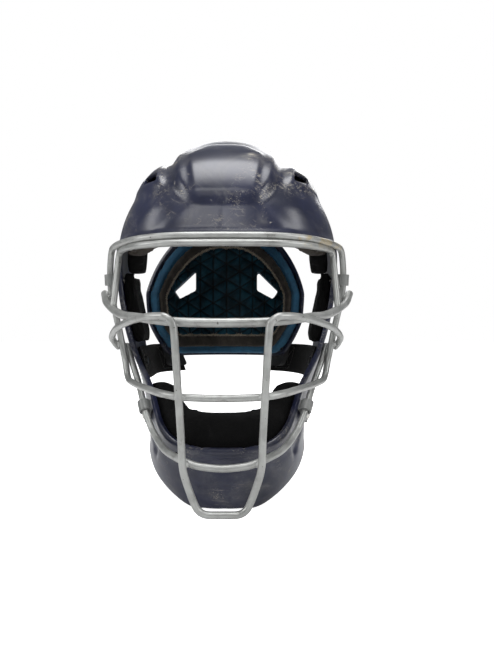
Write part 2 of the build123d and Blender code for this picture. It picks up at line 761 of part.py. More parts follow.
# Bent wire cage
brow_wire = bent_wire(both_sides(BROW_WIRE_SHARES), WIRE)
save(brow_wire, "brow_wire")
mid_bar = bent_wire(both_sides(MID_BAR_SHARES[::-1]), WIRE)
save(mid_bar, "mid_bar")
brow_bar = bent_wire(both_sides(BROW_BAR_SHARES), WIRE)
save(brow_bar, "brow_bar")
eye_bar = bent_wire(both_sides(EYE_BAR_SHARES), HEAVY_WIRE)
save(eye_bar, "eye_bar")
centre_loop = bent_wire(both_sides(LOOP_SHARES), WIRE)
save(centre_loop, "centre_loop")
jaw_wire_right = bent_wire(route(JAW_WIRE_SHARES), WIRE)
save(jaw_wire_right, "jaw_wire_right")
jaw_wire_left = bent_wire(route(JAW_WIRE_SHARES, side=-1), WIRE)
save(jaw_wire_left, "jaw_wire_left")
lower_bar = bent_wire(both_sides(LOWER_BAR_SHARES[::-1]), WIRE)
save(lower_bar, "lower_bar")

# Padding inside the shell
lining = SHELL_WALL + LAYER_GAP
crown_foam_zone = across(side_outline(
    (-FAR, CROWN_FOAM_EDGE), (CROWN_FOAM_SIDE_REAR, CROWN_FOAM_EDGE),
    (CROWN_FOAM_REAR, CROWN_FOAM_REAR_EDGE), (CROWN_FOAM_REAR, HIGH), (-FAR, HIGH),
))
with BuildSketch(Plane.XZ) as foam_vents:
    with Locations((VENT_SIDE, VENT_LEVEL), (-VENT_SIDE, VENT_LEVEL)):
        RectangleRounded(VENT_WIDTH + VENT_CORNER, VENT_HEIGHT + VENT_CORNER, VENT_CORNER)
foam_under = form(SHELL_WALL + CROWN_FOAM)
with BuildPart() as crown_foam:
    add(scale(form(SHELL_WALL), by=CROWN_SEAT, mode=Mode.PRIVATE))
    add(crown_foam_zone, mode=Mode.INTERSECT)
    add(foam_under, mode=Mode.SUBTRACT)
    add(forward(foam_vents.sketch, 0, -FAR), mode=Mode.SUBTRACT)
save(crown_foam.part, "crown_foam")

with BuildPart() as crown_pad_zone:
    with BuildSketch(Plane.XY.offset(CROWN_FOAM_EDGE)):
        with Locations((0, FORM_MIDDLE)):
            Ellipse(CROWN_PAD_HALF, CROWN_PAD_REACH)
    extrude(amount=HIGH)
pad_foot = CROWN_HEIGHT - SHELL_WALL - CROWN_FOAM - CROWN_PAD
with BuildPart() as crown_pad:
    add(crown_pad_zone.part)
    add(scale(foam_under, by=PAD_SEAT, mode=Mode.PRIVATE), mode=Mode.INTERSECT)
    with Locations((0, FORM_MIDDLE, pad_foot - CROWN_PAD_ROUND)):
        Sphere(CROWN_PAD_ROUND, mode=Mode.SUBTRACT)
save(crown_pad.part, "crown_pad")

forehead_foot = BROW_EDGE + FOREHEAD_PAD_RISE
temple_high = BROW_EDGE - FOREHEAD_PAD_DROP
forehead_zone = across(side_outline(
    (-FAR, forehead_foot), (-FOREHEAD_PAD_SLOPE_START, forehead_foot),
    (-FOREHEAD_PAD_SLOPE_END, temple_high), (-FOREHEAD_PAD_BACK, temple_high),
    (-FOREHEAD_PAD_BACK, FOREHEAD_PAD_TOP), (-FAR, FOREHEAD_PAD_TOP),
))
save(layer(lining, lining + FOREHEAD_PAD, forehead_zone), "forehead_pad")

temple_front = LAYER_GAP - FOREHEAD_PAD_BACK
temple_zone = across(side_outline(
    (temple_front, temple_high), (-TEMPLE_PAD_SLOPE, TEMPLE_PAD_FOOT),
    (-TEMPLE_PAD_BACK, TEMPLE_PAD_FOOT),
    (-TEMPLE_PAD_BACK, TEMPLE_PAD_TOP), (temple_front, TEMPLE_PAD_TOP),
))
temple_pad = layer(lining, lining + TEMPLE_PAD, temple_zone, keep_right)
save(temple_pad, "temple_pad_right")
save(mirrored(temple_pad), "temple_pad_left")

side_top = TEMPLE_PAD_FOOT - LAYER_GAP
side_zone = across(side_outline(
    (-SIDE_PAD_FRONT, side_top), (-SIDE_PAD_FRONT, -SIDE_PAD_FOOT),
    (SIDE_PAD_BACK, -SIDE_PAD_FOOT), (SIDE_PAD_BACK, side_top),
))
side_pad = cut(layer(lining, lining + SIDE_PAD, side_zone, keep_right), *nut_pockets)
save(side_pad, "side_pad_right")
save(mirrored(side_pad), "side_pad_left")

with BuildSketch(Plane.YZ) as chin_zone:
    with BuildLine():
        chin_top = Spline(
            (-FAR, -CHIN_PAD_DIP), (-FRONT_REACH, -CHIN_PAD_DIP),
            *[(-CHIN_BOTTOM_REACH * y, CHIN_DROP * z) for y, z in CHIN_PAD_SHARES],
        )
        Polyline(
            chin_top @ 1, (-CHIN_PAD_FOOT_BACK, -CHIN_PAD_FOOT), (-FAR, -CHIN_PAD_FOOT), chin_top @ 0
        )
    make_face()
chin_pad = cut(layer(lining, lining + CHIN_PAD, across(chin_zone.sketch)), *nut_pockets)
save(chin_pad, "chin_pad")

# Rear plate and what it carries
with BuildSketch(Plane.YZ) as plate_zone:
    with BuildLine():
        plate_edge = FilletPolyline(
            (FAR, PLATE_TOP), (PLATE_TOP_FRONT, PLATE_TOP), (PLATE_WING_FRONT, PLATE_WING_HIGH),
            (PLATE_WING_FRONT, PLATE_WING_LOW), (PLATE_FOOT_FRONT, -PLATE_FOOT), (FAR, -PLATE_FOOT),
            radius=PLATE_CORNER,
        )
        Line(plate_edge @ 1, plate_edge @ 0)
    make_face()


def plate_rim(inset, foot=0):
    """The plate's side outline drawn in by inset, and by foot at its lower edge, as a block."""
    with BuildSketch(Plane.YZ) as outline:
        add(plate_zone.sketch_local)
        if inset:
            offset(amount=-inset)
        with Locations((0, foot - PLATE_FOOT)):
            Rectangle(FAR, HIGH, align=(Align.MIN, Align.MIN), mode=Mode.INTERSECT)
    return across(outline.sketch)


vent_width = PLATE_VENT_OUTER - PLATE_VENT_INNER
vent_height = PLATE_VENT_HIGH - PLATE_VENT_LOW
vent_spots = [
    (PLATE_VENT_INNER + x * vent_width, PLATE_VENT_LOW + z * vent_height)
    for x, z in PLATE_VENT_SHARES
]
plate_vent = forward(front_outline(vent_spots, PLATE_VENT_CORNER), FAR, 0)
plate_vents = (plate_vent, mirrored(plate_vent))
shifted = Location((PLATE_SHIFT, 0, 0))
foam_inset = PLATE_WALL + LAYER_GAP
face_inset = foam_inset + PLATE_FOAM + LAYER_GAP
plate = plate_layer(0, PLATE_WALL, plate_rim(0))
save(cut(shifted * cut(plate, *plate_vents), *rivet_holes), "rear_shell")
foam = plate_layer(foam_inset, foam_inset + PLATE_FOAM, plate_rim(PLATE_FOAM_RIM))
save(cut(shifted * cut(foam, *plate_vents), *pockets_in_foam), "rear_foam")
border_rim = plate_rim(PLATE_BORDER_RIM, PLATE_BORDER_FOOT)
border = plate_layer(face_inset, face_inset + PLATE_BORDER, border_rim)
save(shifted * cut(border, plate_rim(PLATE_LINER_RIM, PLATE_LINER_FOOT)), "rear_border")
liner_rim = plate_rim(PLATE_LINER_RIM + LAYER_GAP, PLATE_LINER_FOOT + LAYER_GAP)
liner = plate_layer(face_inset, face_inset + PLATE_LINER, liner_rim)
save(shifted * cut(liner, *plate_vents), "rear_liner")

# Strap anchors outside the plate's lower corners
with BuildSketch(Plane.YZ) as anchor_zone:
    with BuildLine():
        FilletPolyline(
            (ANCHOR_FRONT, -ANCHOR_TOP), (ANCHOR_BACK, -ANCHOR_TOP),
            (ANCHOR_BACK, -ANCHOR_FOOT), (ANCHOR_FRONT, -ANCHOR_FOOT),
            radius=ANCHOR_THICK, close=True,
        )
    make_face()
anchor = plate_layer(
    -LAYER_GAP - ANCHOR_THICK, -LAYER_GAP, across(anchor_zone.sketch), keep_right
)
save(cut(shifted * anchor, *rivet_holes), "strap_anchor_right")
save(cut(shifted * mirrored(anchor), *rivet_holes), "strap_anchor_left")


def side_strap(side):
    """Elastic band from inside the jaw wing to the anchor on the plate."""
    sections = []
    for step in range(SIDE_STRAP_LEVELS + 1):
        level = SIDE_STRAP_LEVEL + SIDE_STRAP_HEIGHT * (step / SIDE_STRAP_LEVELS - 1 / 2)
        spots = []
        for y in SIDE_STRAP_WING_SPOTS:
            spot, normal = on_skin(lining + LAYER_GAP + STRAP_THICK / 2, (0, y, level), (side, 0, 0))
            spots.append((spot.X, spot.Y))
        for y in SIDE_STRAP_PLATE_SPOTS:
            spot = plate_spot(strap_seat + STRAP_THICK / 2, level, depth=y).origin
            spots.append((PLATE_SHIFT + side * (spot.X - PLATE_SHIFT), spot.Y))
        with BuildSketch(Plane.XY.offset(level)) as section:
            with BuildLine():
                Spline(*spots)
            trace(line_width=STRAP_THICK)
        sections.append(section.sketch.faces()[0])
    with BuildPart() as strap:
        loft(sections, ruled=True)
    return strap.part


save(cut(side_strap(1), *rivet_holes), "side_strap_right")
save(cut(side_strap(-1), *rivet_holes), "side_strap_left")

# Elastic strap that the plate swings on: inside the shell's nape, outside the plate's top edge
with BuildSketch(Plane.YZ) as strap_profile:
    with BuildLine():
        spots = []
        for lap in CROWN_STRAP_PLATE_SPOTS:
            level = PLATE_TOP - lap
            spots.append((PLATE_AXIS + plate_depth(-strap_grip + STRAP_THICK / 2, level), level))
        for lap in CROWN_STRAP_SHELL_SPOTS:
            spot, normal = on_skin(lining + STRAP_THICK / 2, (0, 0, NAPE_EDGE + lap), (0, 1, 0))
            spots.append((spot.Y, spot.Z))
        Spline(*spots)
    trace(line_width=STRAP_THICK)
with BuildPart() as crown_strap:
    add(turned(strap_profile.sketch))
    with Locations((0, PLATE_AXIS, CROWN_HEIGHT / 2)):
        Box(
            CROWN_STRAP_WIDTH, FAR, CROWN_HEIGHT,
            align=(Align.CENTER, Align.MIN, Align.CENTER), mode=Mode.INTERSECT,
        )
save(cut(shifted * crown_strap.part, *rivet_holes), "crown_strap")
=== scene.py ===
import math

import bpy
import numpy as np
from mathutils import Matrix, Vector, noise
from mathutils.bvhtree import BVHTree


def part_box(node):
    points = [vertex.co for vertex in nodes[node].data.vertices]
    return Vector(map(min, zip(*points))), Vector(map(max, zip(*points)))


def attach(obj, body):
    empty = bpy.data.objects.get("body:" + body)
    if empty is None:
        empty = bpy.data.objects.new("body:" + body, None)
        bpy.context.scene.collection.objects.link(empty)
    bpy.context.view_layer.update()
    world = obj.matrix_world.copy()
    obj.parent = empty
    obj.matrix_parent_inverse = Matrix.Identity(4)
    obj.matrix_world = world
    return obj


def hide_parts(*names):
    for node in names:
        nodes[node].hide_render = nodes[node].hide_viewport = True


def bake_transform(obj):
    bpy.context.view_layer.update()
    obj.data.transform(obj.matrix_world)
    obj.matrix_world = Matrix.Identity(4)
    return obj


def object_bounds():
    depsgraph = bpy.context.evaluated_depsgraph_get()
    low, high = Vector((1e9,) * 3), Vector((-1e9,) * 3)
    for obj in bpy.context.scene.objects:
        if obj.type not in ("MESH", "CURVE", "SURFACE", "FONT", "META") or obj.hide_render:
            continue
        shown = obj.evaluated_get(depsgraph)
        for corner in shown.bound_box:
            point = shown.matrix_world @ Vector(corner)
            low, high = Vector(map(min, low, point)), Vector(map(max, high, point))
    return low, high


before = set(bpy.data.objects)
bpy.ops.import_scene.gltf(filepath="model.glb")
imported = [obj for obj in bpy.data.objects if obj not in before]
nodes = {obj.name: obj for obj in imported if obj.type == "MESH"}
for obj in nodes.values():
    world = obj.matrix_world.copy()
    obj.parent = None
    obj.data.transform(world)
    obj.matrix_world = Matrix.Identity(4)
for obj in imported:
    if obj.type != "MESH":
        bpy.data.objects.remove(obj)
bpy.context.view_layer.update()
scene = bpy.context.scene
norm = np.linalg.norm
MM = 0.001
FAR_AWAY = 1e9


def assign(thing, **values):
    """Set several properties of a thing."""
    for key, value in values.items():
        setattr(thing, key, value)
    return thing


def show(name, data, **values):
    """New object in the scene."""
    made = assign(bpy.data.objects.new(name, data), **values)
    scene.collection.objects.link(made)
    return made


# Camera at the photograph's place
lens = assign(bpy.data.cameras.new("camera"), lens=31.03, sensor_width=36.0)
scene.camera = show("camera", lens, location=(0.0188, -0.585, -0.045), rotation_euler=(math.pi / 2, 0, 0))
scene.view_settings.view_transform = "Standard"


# Materials
def plug(tree, value, socket):
    """Give a socket a link or a constant; a constant colour is opaque."""
    if isinstance(value, bpy.types.NodeSocket):
        tree.links.new(value, socket)
    else:
        socket.default_value = (*value, 1.0) if socket.type == "RGBA" else value


def add_node(tree, kind, inputs=(), **settings):
    made = assign(tree.nodes.new(kind), **settings)
    for key, value in dict(inputs).items():
        plug(tree, value, made.inputs[key])
    return made


class Paint:
    """Node material whose textures follow the piece's own coordinates, in metres."""

    def __init__(self, name, rough, metal=0.0):
        self.material = bpy.data.materials.new(name)
        self.material.use_nodes = True
        self.tree = self.material.node_tree
        self.place = self.node("ShaderNodeTexCoord").outputs["Object"]
        self.colour = self.relief = None
        self.set(Roughness=rough, Metallic=metal)

    def set(self, **values):
        """Values of the shader's sockets, an underscore for each space in a name."""
        for name, value in values.items():
            shader = self.tree.nodes["Principled BSDF"]
            plug(self.tree, value, shader.inputs[name.replace("_", " ")])

    def node(self, kind, inputs=(), **settings):
        return add_node(self.tree, kind, inputs, **settings)

    def turned(self, scale, turn=(0, 0, 0)):
        way = self.node("ShaderNodeMapping", {"Vector": self.place, "Rotation": turn}).outputs[0]
        return self.node("ShaderNodeMapping", {"Vector": way, "Scale": scale}).outputs[0]

    def mask(self, name):
        return self.node("ShaderNodeAttribute", attribute_name=name).outputs["Fac"]

    def noise(self, scale, detail=2.0, rough=0.5, vector=None, bend=0.0):
        inputs = {"Vector": vector or self.place, "Scale": scale, "Detail": detail,
                  "Roughness": rough, "Distortion": bend}
        return self.node("ShaderNodeTexNoise", inputs).outputs["Fac"]

    def patches(self, scale, detail, rough, low, high, bend=0.0):
        """Noise that is nothing below one of its values and full above another."""
        return self.span(self.noise(scale, detail, rough, bend=bend), low, high)

    def cells(self, scale):
        return self.node("ShaderNodeTexVoronoi", {"Vector": self.place, "Scale": scale}).outputs["Distance"]

    def bands(self, scale, axis, bend=0.0, vector=None):
        inputs = {"Vector": vector or self.place, "Scale": scale, "Distortion": bend}
        return self.node("ShaderNodeTexWave", inputs, bands_direction=axis).outputs["Fac"]

    def span(self, value, low, high, start=0.0, end=1.0):
        inputs = {"Value": value, "From Min": low, "From Max": high, "To Min": start, "To Max": end}
        return self.node("ShaderNodeMapRange", inputs, interpolation_type="SMOOTHSTEP").outputs["Result"]

    def maths(self, kind, first, second):
        return self.node("ShaderNodeMath", {0: first, 1: second}, operation=kind).outputs[0]

    def times(self, first, *others):
        for other in others:
            first = self.maths("MULTIPLY", first, other)
        return first

    def tint(self, where, first, second):
        """Colour that goes from the first to the second by a mask."""
        inputs = {0: where, 6: first, 7: second}
        self.colour = self.node("ShaderNodeMix", inputs, data_type="RGBA").outputs[2]
        self.set(Base_Color=self.colour)

    def cover(self, where, share, colour):
        """Lay a share of another colour over the one so far."""
        self.tint(self.times(where, share), self.colour, colour)

    def bump(self, height, distance, strength=1.0):
        inputs = {"Height": height, "Distance": distance, "Strength": strength}
        if self.relief:
            inputs["Normal"] = self.relief
        self.relief = self.node("ShaderNodeBump", inputs).outputs["Normal"]
        self.set(Normal=self.relief)


# turn, scale and threshold of the fine streaks in one direction
SCRATCHES = [
    ((0.5, 0.9, 0.2), (620, 620, 16), 0.60), ((1.3, -0.6, 0.4), (700, 700, 22), 0.61),
    ((0.1, 1.5, -0.7), (560, 560, 14), 0.60), ((-0.8, 0.2, 1.1), (800, 800, 26), 0.62),
    ((0.2, -0.9, 0.1), (900, 900, 30), 0.62),
]


def moulded_navy(name, worn_by_mask):
    """Glossy navy plastic with haze, fine scratches and pale scuffs where it is knocked."""
    paint = Paint(name, 0.3)
    wear = paint.mask("wear") if worn_by_mask else 0.25
    paint.tint(paint.patches(20, 3, 0.6, 0.35, 0.7), (0.005, 0.007, 0.022), (0.012, 0.015, 0.040))
    haze = paint.times(paint.patches(30, 7, 0.68, 0.46, 0.74, 0.8), paint.span(wear, 0.0, 0.8, 0.30, 1.0))
    paint.cover(haze, 0.62, (0.150, 0.145, 0.14))
    streaks = 0.0
    for turn, scale, low in SCRATCHES:
        lines = paint.noise(1.0, 3.0, 0.55, paint.turned(scale, turn), 0.15)
        streaks = paint.maths("MAXIMUM", streaks, paint.span(lines, low, low + 0.07))
    streaks = paint.times(
        streaks, paint.patches(24, 4, 0.6, 0.47, 0.62, 0.6), paint.span(wear, 0.0, 0.7, 0.35, 1.0))
    paint.cover(streaks, 0.75, (0.36, 0.33, 0.27))
    chips = paint.times(paint.patches(150, 8, 0.66, 0.60, 0.66, 0.6), paint.patches(40, 3, 0.6, 0.50, 0.60),
                        paint.span(wear, 0.25, 0.9, 0.0, 1.0))
    paint.cover(chips, 0.85, (0.48, 0.45, 0.40))
    marks = paint.maths("MAXIMUM", streaks, chips)
    rough = paint.maths("ADD", paint.span(haze, 0, 1, 0.33, 0.52), paint.times(marks, 0.25))
    paint.set(Roughness=rough, Coat_Weight=0.12, Coat_Roughness=0.16)
    paint.bump(paint.noise(14, 1), 0.0016, 0.25)
    paint.bump(paint.noise(900, 2), 0.00003, 0.5)
    paint.bump(marks, 0.0001, -0.6)
    return paint.material


def coated_wire():
    """Silver-gray coating with grime, chips and a yellowed place over the right brow."""
    paint = Paint("coated_wire", 0.36, 0.45)
    cloudy = paint.noise(60, 4, 0.6)
    paint.tint(paint.span(cloudy, 0.3, 0.7), (0.25, 0.255, 0.245), (0.35, 0.355, 0.345))
    paint.cover(paint.patches(45, 6, 0.7, 0.56, 0.68, 0.6), 0.45, (0.12, 0.115, 0.10))
    axes = paint.node("ShaderNodeSeparateXYZ", {"Vector": paint.place}).outputs
    yellow = paint.times(paint.patches(70, 5, 0.7, 0.5, 0.6, 0.8),
                         paint.span(axes["X"], 0.045, 0.06), paint.span(axes["Z"], 0.02, 0.03))
    paint.cover(yellow, 0.6, (0.36, 0.27, 0.12))
    chips = paint.patches(260, 5, 0.6, 0.665, 0.69)
    paint.cover(chips, 1.0, (0.09, 0.085, 0.08))
    paint.set(Roughness=paint.span(cloudy, 0.3, 0.75, 0.28, 0.46))
    paint.bump(paint.noise(420, 3), 0.00012, 0.35)
    paint.bump(chips, 0.00008, -0.7)
    return paint.material


def moulded_plastic(name, dark, light, rough):
    paint = Paint(name, rough)
    worn = paint.patches(90, 5, 0.65, 0.5, 0.7, 0.4)
    paint.tint(paint.times(worn, 0.5), dark, light)
    paint.set(Roughness=paint.span(worn, 0, 1, rough, rough + 0.15))
    paint.bump(paint.noise(2600, 2), 0.00005, 0.5)
    return paint.material


def plated_steel():
    paint = Paint("plated_steel", 0.28, 1.0)
    worn = paint.noise(300, 4, 0.6)
    paint.tint(worn, (0.42, 0.41, 0.39), (0.66, 0.65, 0.62))
    paint.set(Roughness=paint.span(worn, 0.3, 0.7, 0.2, 0.4))
    paint.bump(paint.noise(1500, 2), 0.00003, 0.4)
    return paint.material


def shaded(colour, share):
    return tuple(part * share for part in colour)


def cell_foam(name, dark, light):
    paint = Paint(name, 0.85)
    paint.tint(paint.patches(60, 4, 0.6, 0.3, 0.7), dark, light)
    pores = paint.span(paint.cells(1500), 0.0, 0.55)
    paint.tint(paint.times(pores, 0.5), shaded(dark, 0.4), paint.colour)
    paint.set(Sheen_Weight=0.15)
    paint.bump(pores, 0.0002, 0.7)
    paint.bump(paint.noise(120, 3), 0.0006, 0.4)
    return paint.material


def woven(name, dark, light, thread=0.0009, sheen=0.05, dust=0.2):
    """Plain weave: threads over and under, with lint and dust."""
    paint = Paint(name, 0.88)
    scale = 1 / thread / 2
    over = paint.bands(scale, "DIAGONAL", 0.4)
    under = paint.bands(scale, "DIAGONAL", 0.4, paint.turned((-1, 1, 1)))
    across = paint.bands(scale, "Z", 0.4)
    weave = paint.times(paint.maths("MAXIMUM", over, under), paint.span(across, 0, 1, 0.5, 1))
    paint.tint(weave, shaded(dark, 0.3), dark)
    paint.cover(paint.patches(38, 6, 0.7, 0.5, 0.72, 0.7), dust, light)
    rough = paint.span(paint.noise(30, 5, 0.65), 0.3, 0.7, 0.8, 0.95)
    paint.set(Sheen_Weight=sheen, Sheen_Roughness=0.5, Specular_IOR_Level=0.1, Roughness=rough)
    paint.bump(weave, 0.00022, 0.8)
    paint.bump(paint.noise(140, 4), 0.0008, 0.35)
    return paint.material


def felt():
    paint = Paint("felt_border", 0.95)
    fibres = paint.noise(1400, 6, 0.75, bend=1.5)
    paint.tint(fibres, (0.010, 0.009, 0.008), (0.050, 0.042, 0.034))
    paint.cover(paint.patches(70, 4, 0.6, 0.45, 0.7), 0.5, (0.075, 0.062, 0.052))
    paint.set(Sheen_Weight=0.1, Sheen_Roughness=0.6, Specular_IOR_Level=0.1)
    paint.bump(fibres, 0.0005, 0.8)
    return paint.material


def pod_liner():
    paint = Paint("pod_liner", 0.62)
    paint.tint(paint.patches(48, 4, 0.6, 0.35, 0.65), (0.001, 0.009, 0.014), (0.004, 0.036, 0.055))
    # painted shade: the grooves between the pods are painted near black
    paint.cover(paint.mask("groove_and_shade"), 1.0, (0.003, 0.004, 0.005))
    paint.set(Specular_IOR_Level=0.15)
    paint.bump(paint.cells(2200), 0.00012, 0.6)
    paint.bump(paint.noise(200, 3), 0.0004, 0.3)
    return paint.material


def webbing():
    """Ribbed elastic: ribs along the band and threads across it, from the band's own map."""
    rib, thread = 0.0014, 0.0006
    paint = Paint("webbing", 0.85)
    paint.place = paint.node("ShaderNodeUVMap", uv_map="band").outputs["UV"]
    ribs, threads = paint.bands(0.5 / rib, "Y"), paint.bands(0.5 / thread, "X", 0.6)
    weave = paint.times(paint.span(ribs, 0, 1, 0.35, 1), paint.span(threads, 0, 1, 0.6, 1))
    paint.tint(weave, (0.0012, 0.0012, 0.0013), (0.0055, 0.0052, 0.005))
    paint.cover(paint.patches(90, 6, 0.75, 0.55, 0.75, 0.6), 0.25, (0.03, 0.028, 0.026))
    paint.set(Sheen_Weight=0.02, Specular_IOR_Level=0.12)
    paint.bump(weave, 0.00025, 0.8)
    return paint.material


def sewing_thread(name, dark, light):
    paint = Paint(name, 0.9)
    twist = paint.bands(900, "DIAGONAL", 1.0)
    paint.tint(twist, dark, light)
    paint.set(Sheen_Weight=0.3)
    paint.bump(twist, 0.0001, 0.8)
    return paint.material


navy = moulded_navy("moulded_navy", True)
plate_navy = moulded_navy("plate_navy", False)
wire_paint = coated_wire()
clip_coating = moulded_plastic("clip_coating", (0.17, 0.175, 0.17), (0.28, 0.28, 0.27), 0.32)
anchor_plastic = moulded_plastic("anchor_plastic", (0.008, 0.008, 0.009), (0.04, 0.04, 0.04), 0.45)
rivet_paint = moulded_plastic("rivet_paint", (0.012, 0.012, 0.014), (0.14, 0.14, 0.14), 0.3)
steel = plated_steel()
blue_foam = cell_foam("blue_foam", (0.008, 0.085, 0.170), (0.022, 0.160, 0.290))
crown_foam_blue = cell_foam("crown_foam_blue", (0.012, 0.05, 0.12), (0.03, 0.10, 0.22))
brown_cloth = woven("brown_cloth", (0.052, 0.043, 0.035), (0.15, 0.13, 0.105), dust=0.4)
black_cloth = woven("black_cloth", (0.0035, 0.0035, 0.0036), (0.018, 0.017, 0.016), sheen=0.02)
chin_cloth = woven("chin_cloth", (0.0032, 0.0032, 0.0034), (0.014, 0.013, 0.013), 0.0014, 0.02, 0.3)
felt_cloth = felt()
liner_rubber = pod_liner()
elastic = webbing()
black_thread = sewing_thread("black_thread", (0.008, 0.008, 0.008), (0.035, 0.033, 0.03))
tan_thread = sewing_thread("tan_thread", (0.16, 0.13, 0.09), (0.36, 0.31, 0.24))


# Mesh helpers, in millimetres
def settle(piece, material, body, slot, *replaced):
    """Give a finished piece its material and body, and hide the CAD nodes it stands for; the slot is not
    used.
    """
    piece.data.materials.clear()
    piece.data.materials.append(material)
    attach(piece, body)
    if replaced:
        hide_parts(*replaced)
    return piece


def new_piece(name, spots, faces, sharp_angle=180):
    mesh = bpy.data.meshes.new(name)
    mesh.from_pydata((np.asarray(spots, float) * MM).tolist(), [], faces)
    mesh.update()
    piece = show(name, mesh)
    smooth(piece, sharp_angle)
    return piece


def smooth(piece, angle=180):
    piece.data.polygons.foreach_set("use_smooth", [True] * len(piece.data.polygons))
    if angle < 180:
        piece.data.set_sharp_from_angle(angle=math.radians(angle))
    piece.data.update()


def apply_modifiers(piece):
    bpy.context.view_layer.update()
    graph = bpy.context.evaluated_depsgraph_get()
    mesh = bpy.data.meshes.new_from_object(piece.evaluated_get(graph))
    piece.modifiers.clear()
    piece.data = mesh


def read_points(mesh, what):
    flat = np.empty(len(mesh.vertices) * 3)
    mesh.vertices.foreach_get(what, flat)
    return flat.reshape(-1, 3)


def get_spots(mesh):
    return read_points(mesh, "co") / MM


def get_normals(mesh):
    return read_points(mesh, "normal")


def set_spots(mesh, spots):
    mesh.vertices.foreach_set("co", (spots * MM).ravel())
    mesh.update()


def store(piece, name, values):
    """Keep a value at each point for a material to read."""
    attribute = piece.data.attributes.new(name, "FLOAT", "POINT")
    attribute.data.foreach_set("value", values.astype(np.float32))


def unit(rows):
    """Directions with a length of one."""
    return rows / (norm(rows, axis=-1, keepdims=True) + 1e-12)


def grid_quads(index, closed=True):
    """Faces between the rows of a grid that may close on itself sideways."""
    beside = np.roll(index, -1, axis=1)
    quads = np.stack([index[:-1], beside[:-1], beside[1:], index[1:]], axis=-1)
    return (quads if closed else quads[:, :-1]).reshape(-1, 4)


def ease(value):
    value = np.clip(value, 0, 1)
    return value * value * (3 - 2 * value)


def outline_distance(points, outline):
    """Signed distance of plane points to a closed outline, negative inside."""
    nearest = np.full(len(points), FAR_AWAY)
    inside = np.zeros(len(points), bool)
    x, y = points[:, 0], points[:, 1]
    for (ax, ay), (bx, by) in zip(outline, np.roll(outline, -1, axis=0)):
        run = (bx - ax) ** 2 + (by - ay) ** 2
        if run < 1e-12:
            continue
        share = np.clip(((x - ax) * (bx - ax) + (y - ay) * (by - ay)) / run, 0, 1)
        nearest = np.minimum(nearest, np.hypot(x - ax - share * (bx - ax), y - ay - share * (by - ay)))
        if ay != by:
            crosses = ((ay > y) != (by > y)) & (x < (bx - ax) * (y - ay) / (by - ay) + ax)
            inside ^= crosses
    return np.where(inside, -nearest, nearest)


def rounded(spots, steps, radius=None):
    """Open line with its corners rounded by a radius, or by nearly half of the shorter run."""
    spots = [np.array(spot, float) for spot in spots]
    share = np.linspace(0, 1, steps + 1)[:, None]
    line = [spots[0]]
    for before, corner, after in zip(spots, spots[1:], spots[2:]):
        arriving, leaving = corner - before, after - corner
        run_in, run_out = norm(arriving), norm(leaving)
        back = 0.45 * min(run_in, run_out)
        if radius:
            turn = math.acos(np.clip(arriving @ leaving / run_in / run_out, -1, 1))
            back = min(radius * math.tan(turn / 2), 0.49 * run_in, 0.49 * run_out)
        start, end = corner - arriving / run_in * back, corner + leaving / run_out * back
        line.extend((1 - share) ** 2 * start + 2 * share * (1 - share) * corner + share ** 2 * end)
    return np.array([*line, spots[-1]])


def spline_through(knots, rows, at):
    """Natural cubic spline through rows of values."""
    knots, rows = np.asarray(knots, float), np.asarray(rows, float)
    count, gaps = len(knots), np.diff(knots)
    system, right = np.zeros((count, count)), np.zeros((count, rows.shape[1]))
    system[0, 0] = system[-1, -1] = 1
    for k in range(1, count - 1):
        system[k, k - 1:k + 2] = gaps[k - 1], 2 * (gaps[k - 1] + gaps[k]), gaps[k]
        right[k] = 6 * ((rows[k + 1] - rows[k]) / gaps[k] - (rows[k] - rows[k - 1]) / gaps[k - 1])
    curve = np.linalg.solve(system, right)
    k = np.clip(np.searchsorted(knots, at) - 1, 0, count - 2)
    gap, after = gaps[k][:, None], ((knots[k + 1] - at) / gaps[k])[:, None]
    before = 1 - after
    bend = ((after ** 3 - after) * curve[k] + (before ** 3 - before) * curve[k + 1]) * gap ** 2 / 6
    return after * rows[k] + before * rows[k + 1] + bend


def chords(rows):
    """Length walked along a line up to each of its points."""
    return np.concatenate([[0], np.cumsum(norm(np.diff(np.asarray(rows, float), axis=0), axis=1))])


def curve_through(rows, count, skip_start=0, skip_end=0):
    """Points of a smooth curve through rows, leaving out some spans at its ends."""
    knots = chords(rows)
    at = np.linspace(knots[skip_start], knots[-1 - skip_end], count)
    return spline_through(knots, rows, at)


# Head form. The dome above the middle is measured on the photo, the rest is the part's own.
HALF_WIDTH, FRONT_REACH, CROWN_HEIGHT, CHIN_DROP, FORM_MIDDLE = 106.0, 122.0, 138.0, 194.0, 8.0
# level, half width, front and rear reach as shares of the sizes above, squareness of front and rear
FORM_SHARES = [
    (-1.031, 0.434, 0.918, 0.574, 2.60, 2.20),
    (-0.902, 0.656, 0.992, 0.738, 2.60, 2.30),
    (-0.696, 0.717, 1.066, 0.918, 2.60, 2.40),
    (-0.469, 0.821, 1.066, 1.049, 2.10, 2.70),
    (-0.247, 0.910, 1.049, 1.098, 2.75, 2.40),
    (0.000, 1.000, 1.008, 1.115, 2.70, 2.30),
    (0.362, 0.957, 0.967, 1.090, 3.00, 2.30),
    (0.688, 0.717, 0.803, 0.943, 2.80, 2.25),
    (0.848, 0.500, 0.557, 0.689, 2.40, 2.20),
    (0.971, 0.290, 0.262, 0.328, 2.20, 2.20),
]
form_rows = [
    (level * (CROWN_HEIGHT if level > 0 else CHIN_DROP), half * HALF_WIDTH,
     front * FRONT_REACH + FORM_MIDDLE, rear * FRONT_REACH - FORM_MIDDLE, front_square, rear_square)
    for level, half, front, rear, front_square, rear_square in FORM_SHARES
]
form_rows.append((CROWN_HEIGHT, 0, 0, 0, 2.2, 2.2))
for row in form_rows[-2:-5:-1]:
    form_rows.append((row[0], -row[1], -row[2], -row[3], row[4], row[5]))
form_rows = np.array(form_rows)
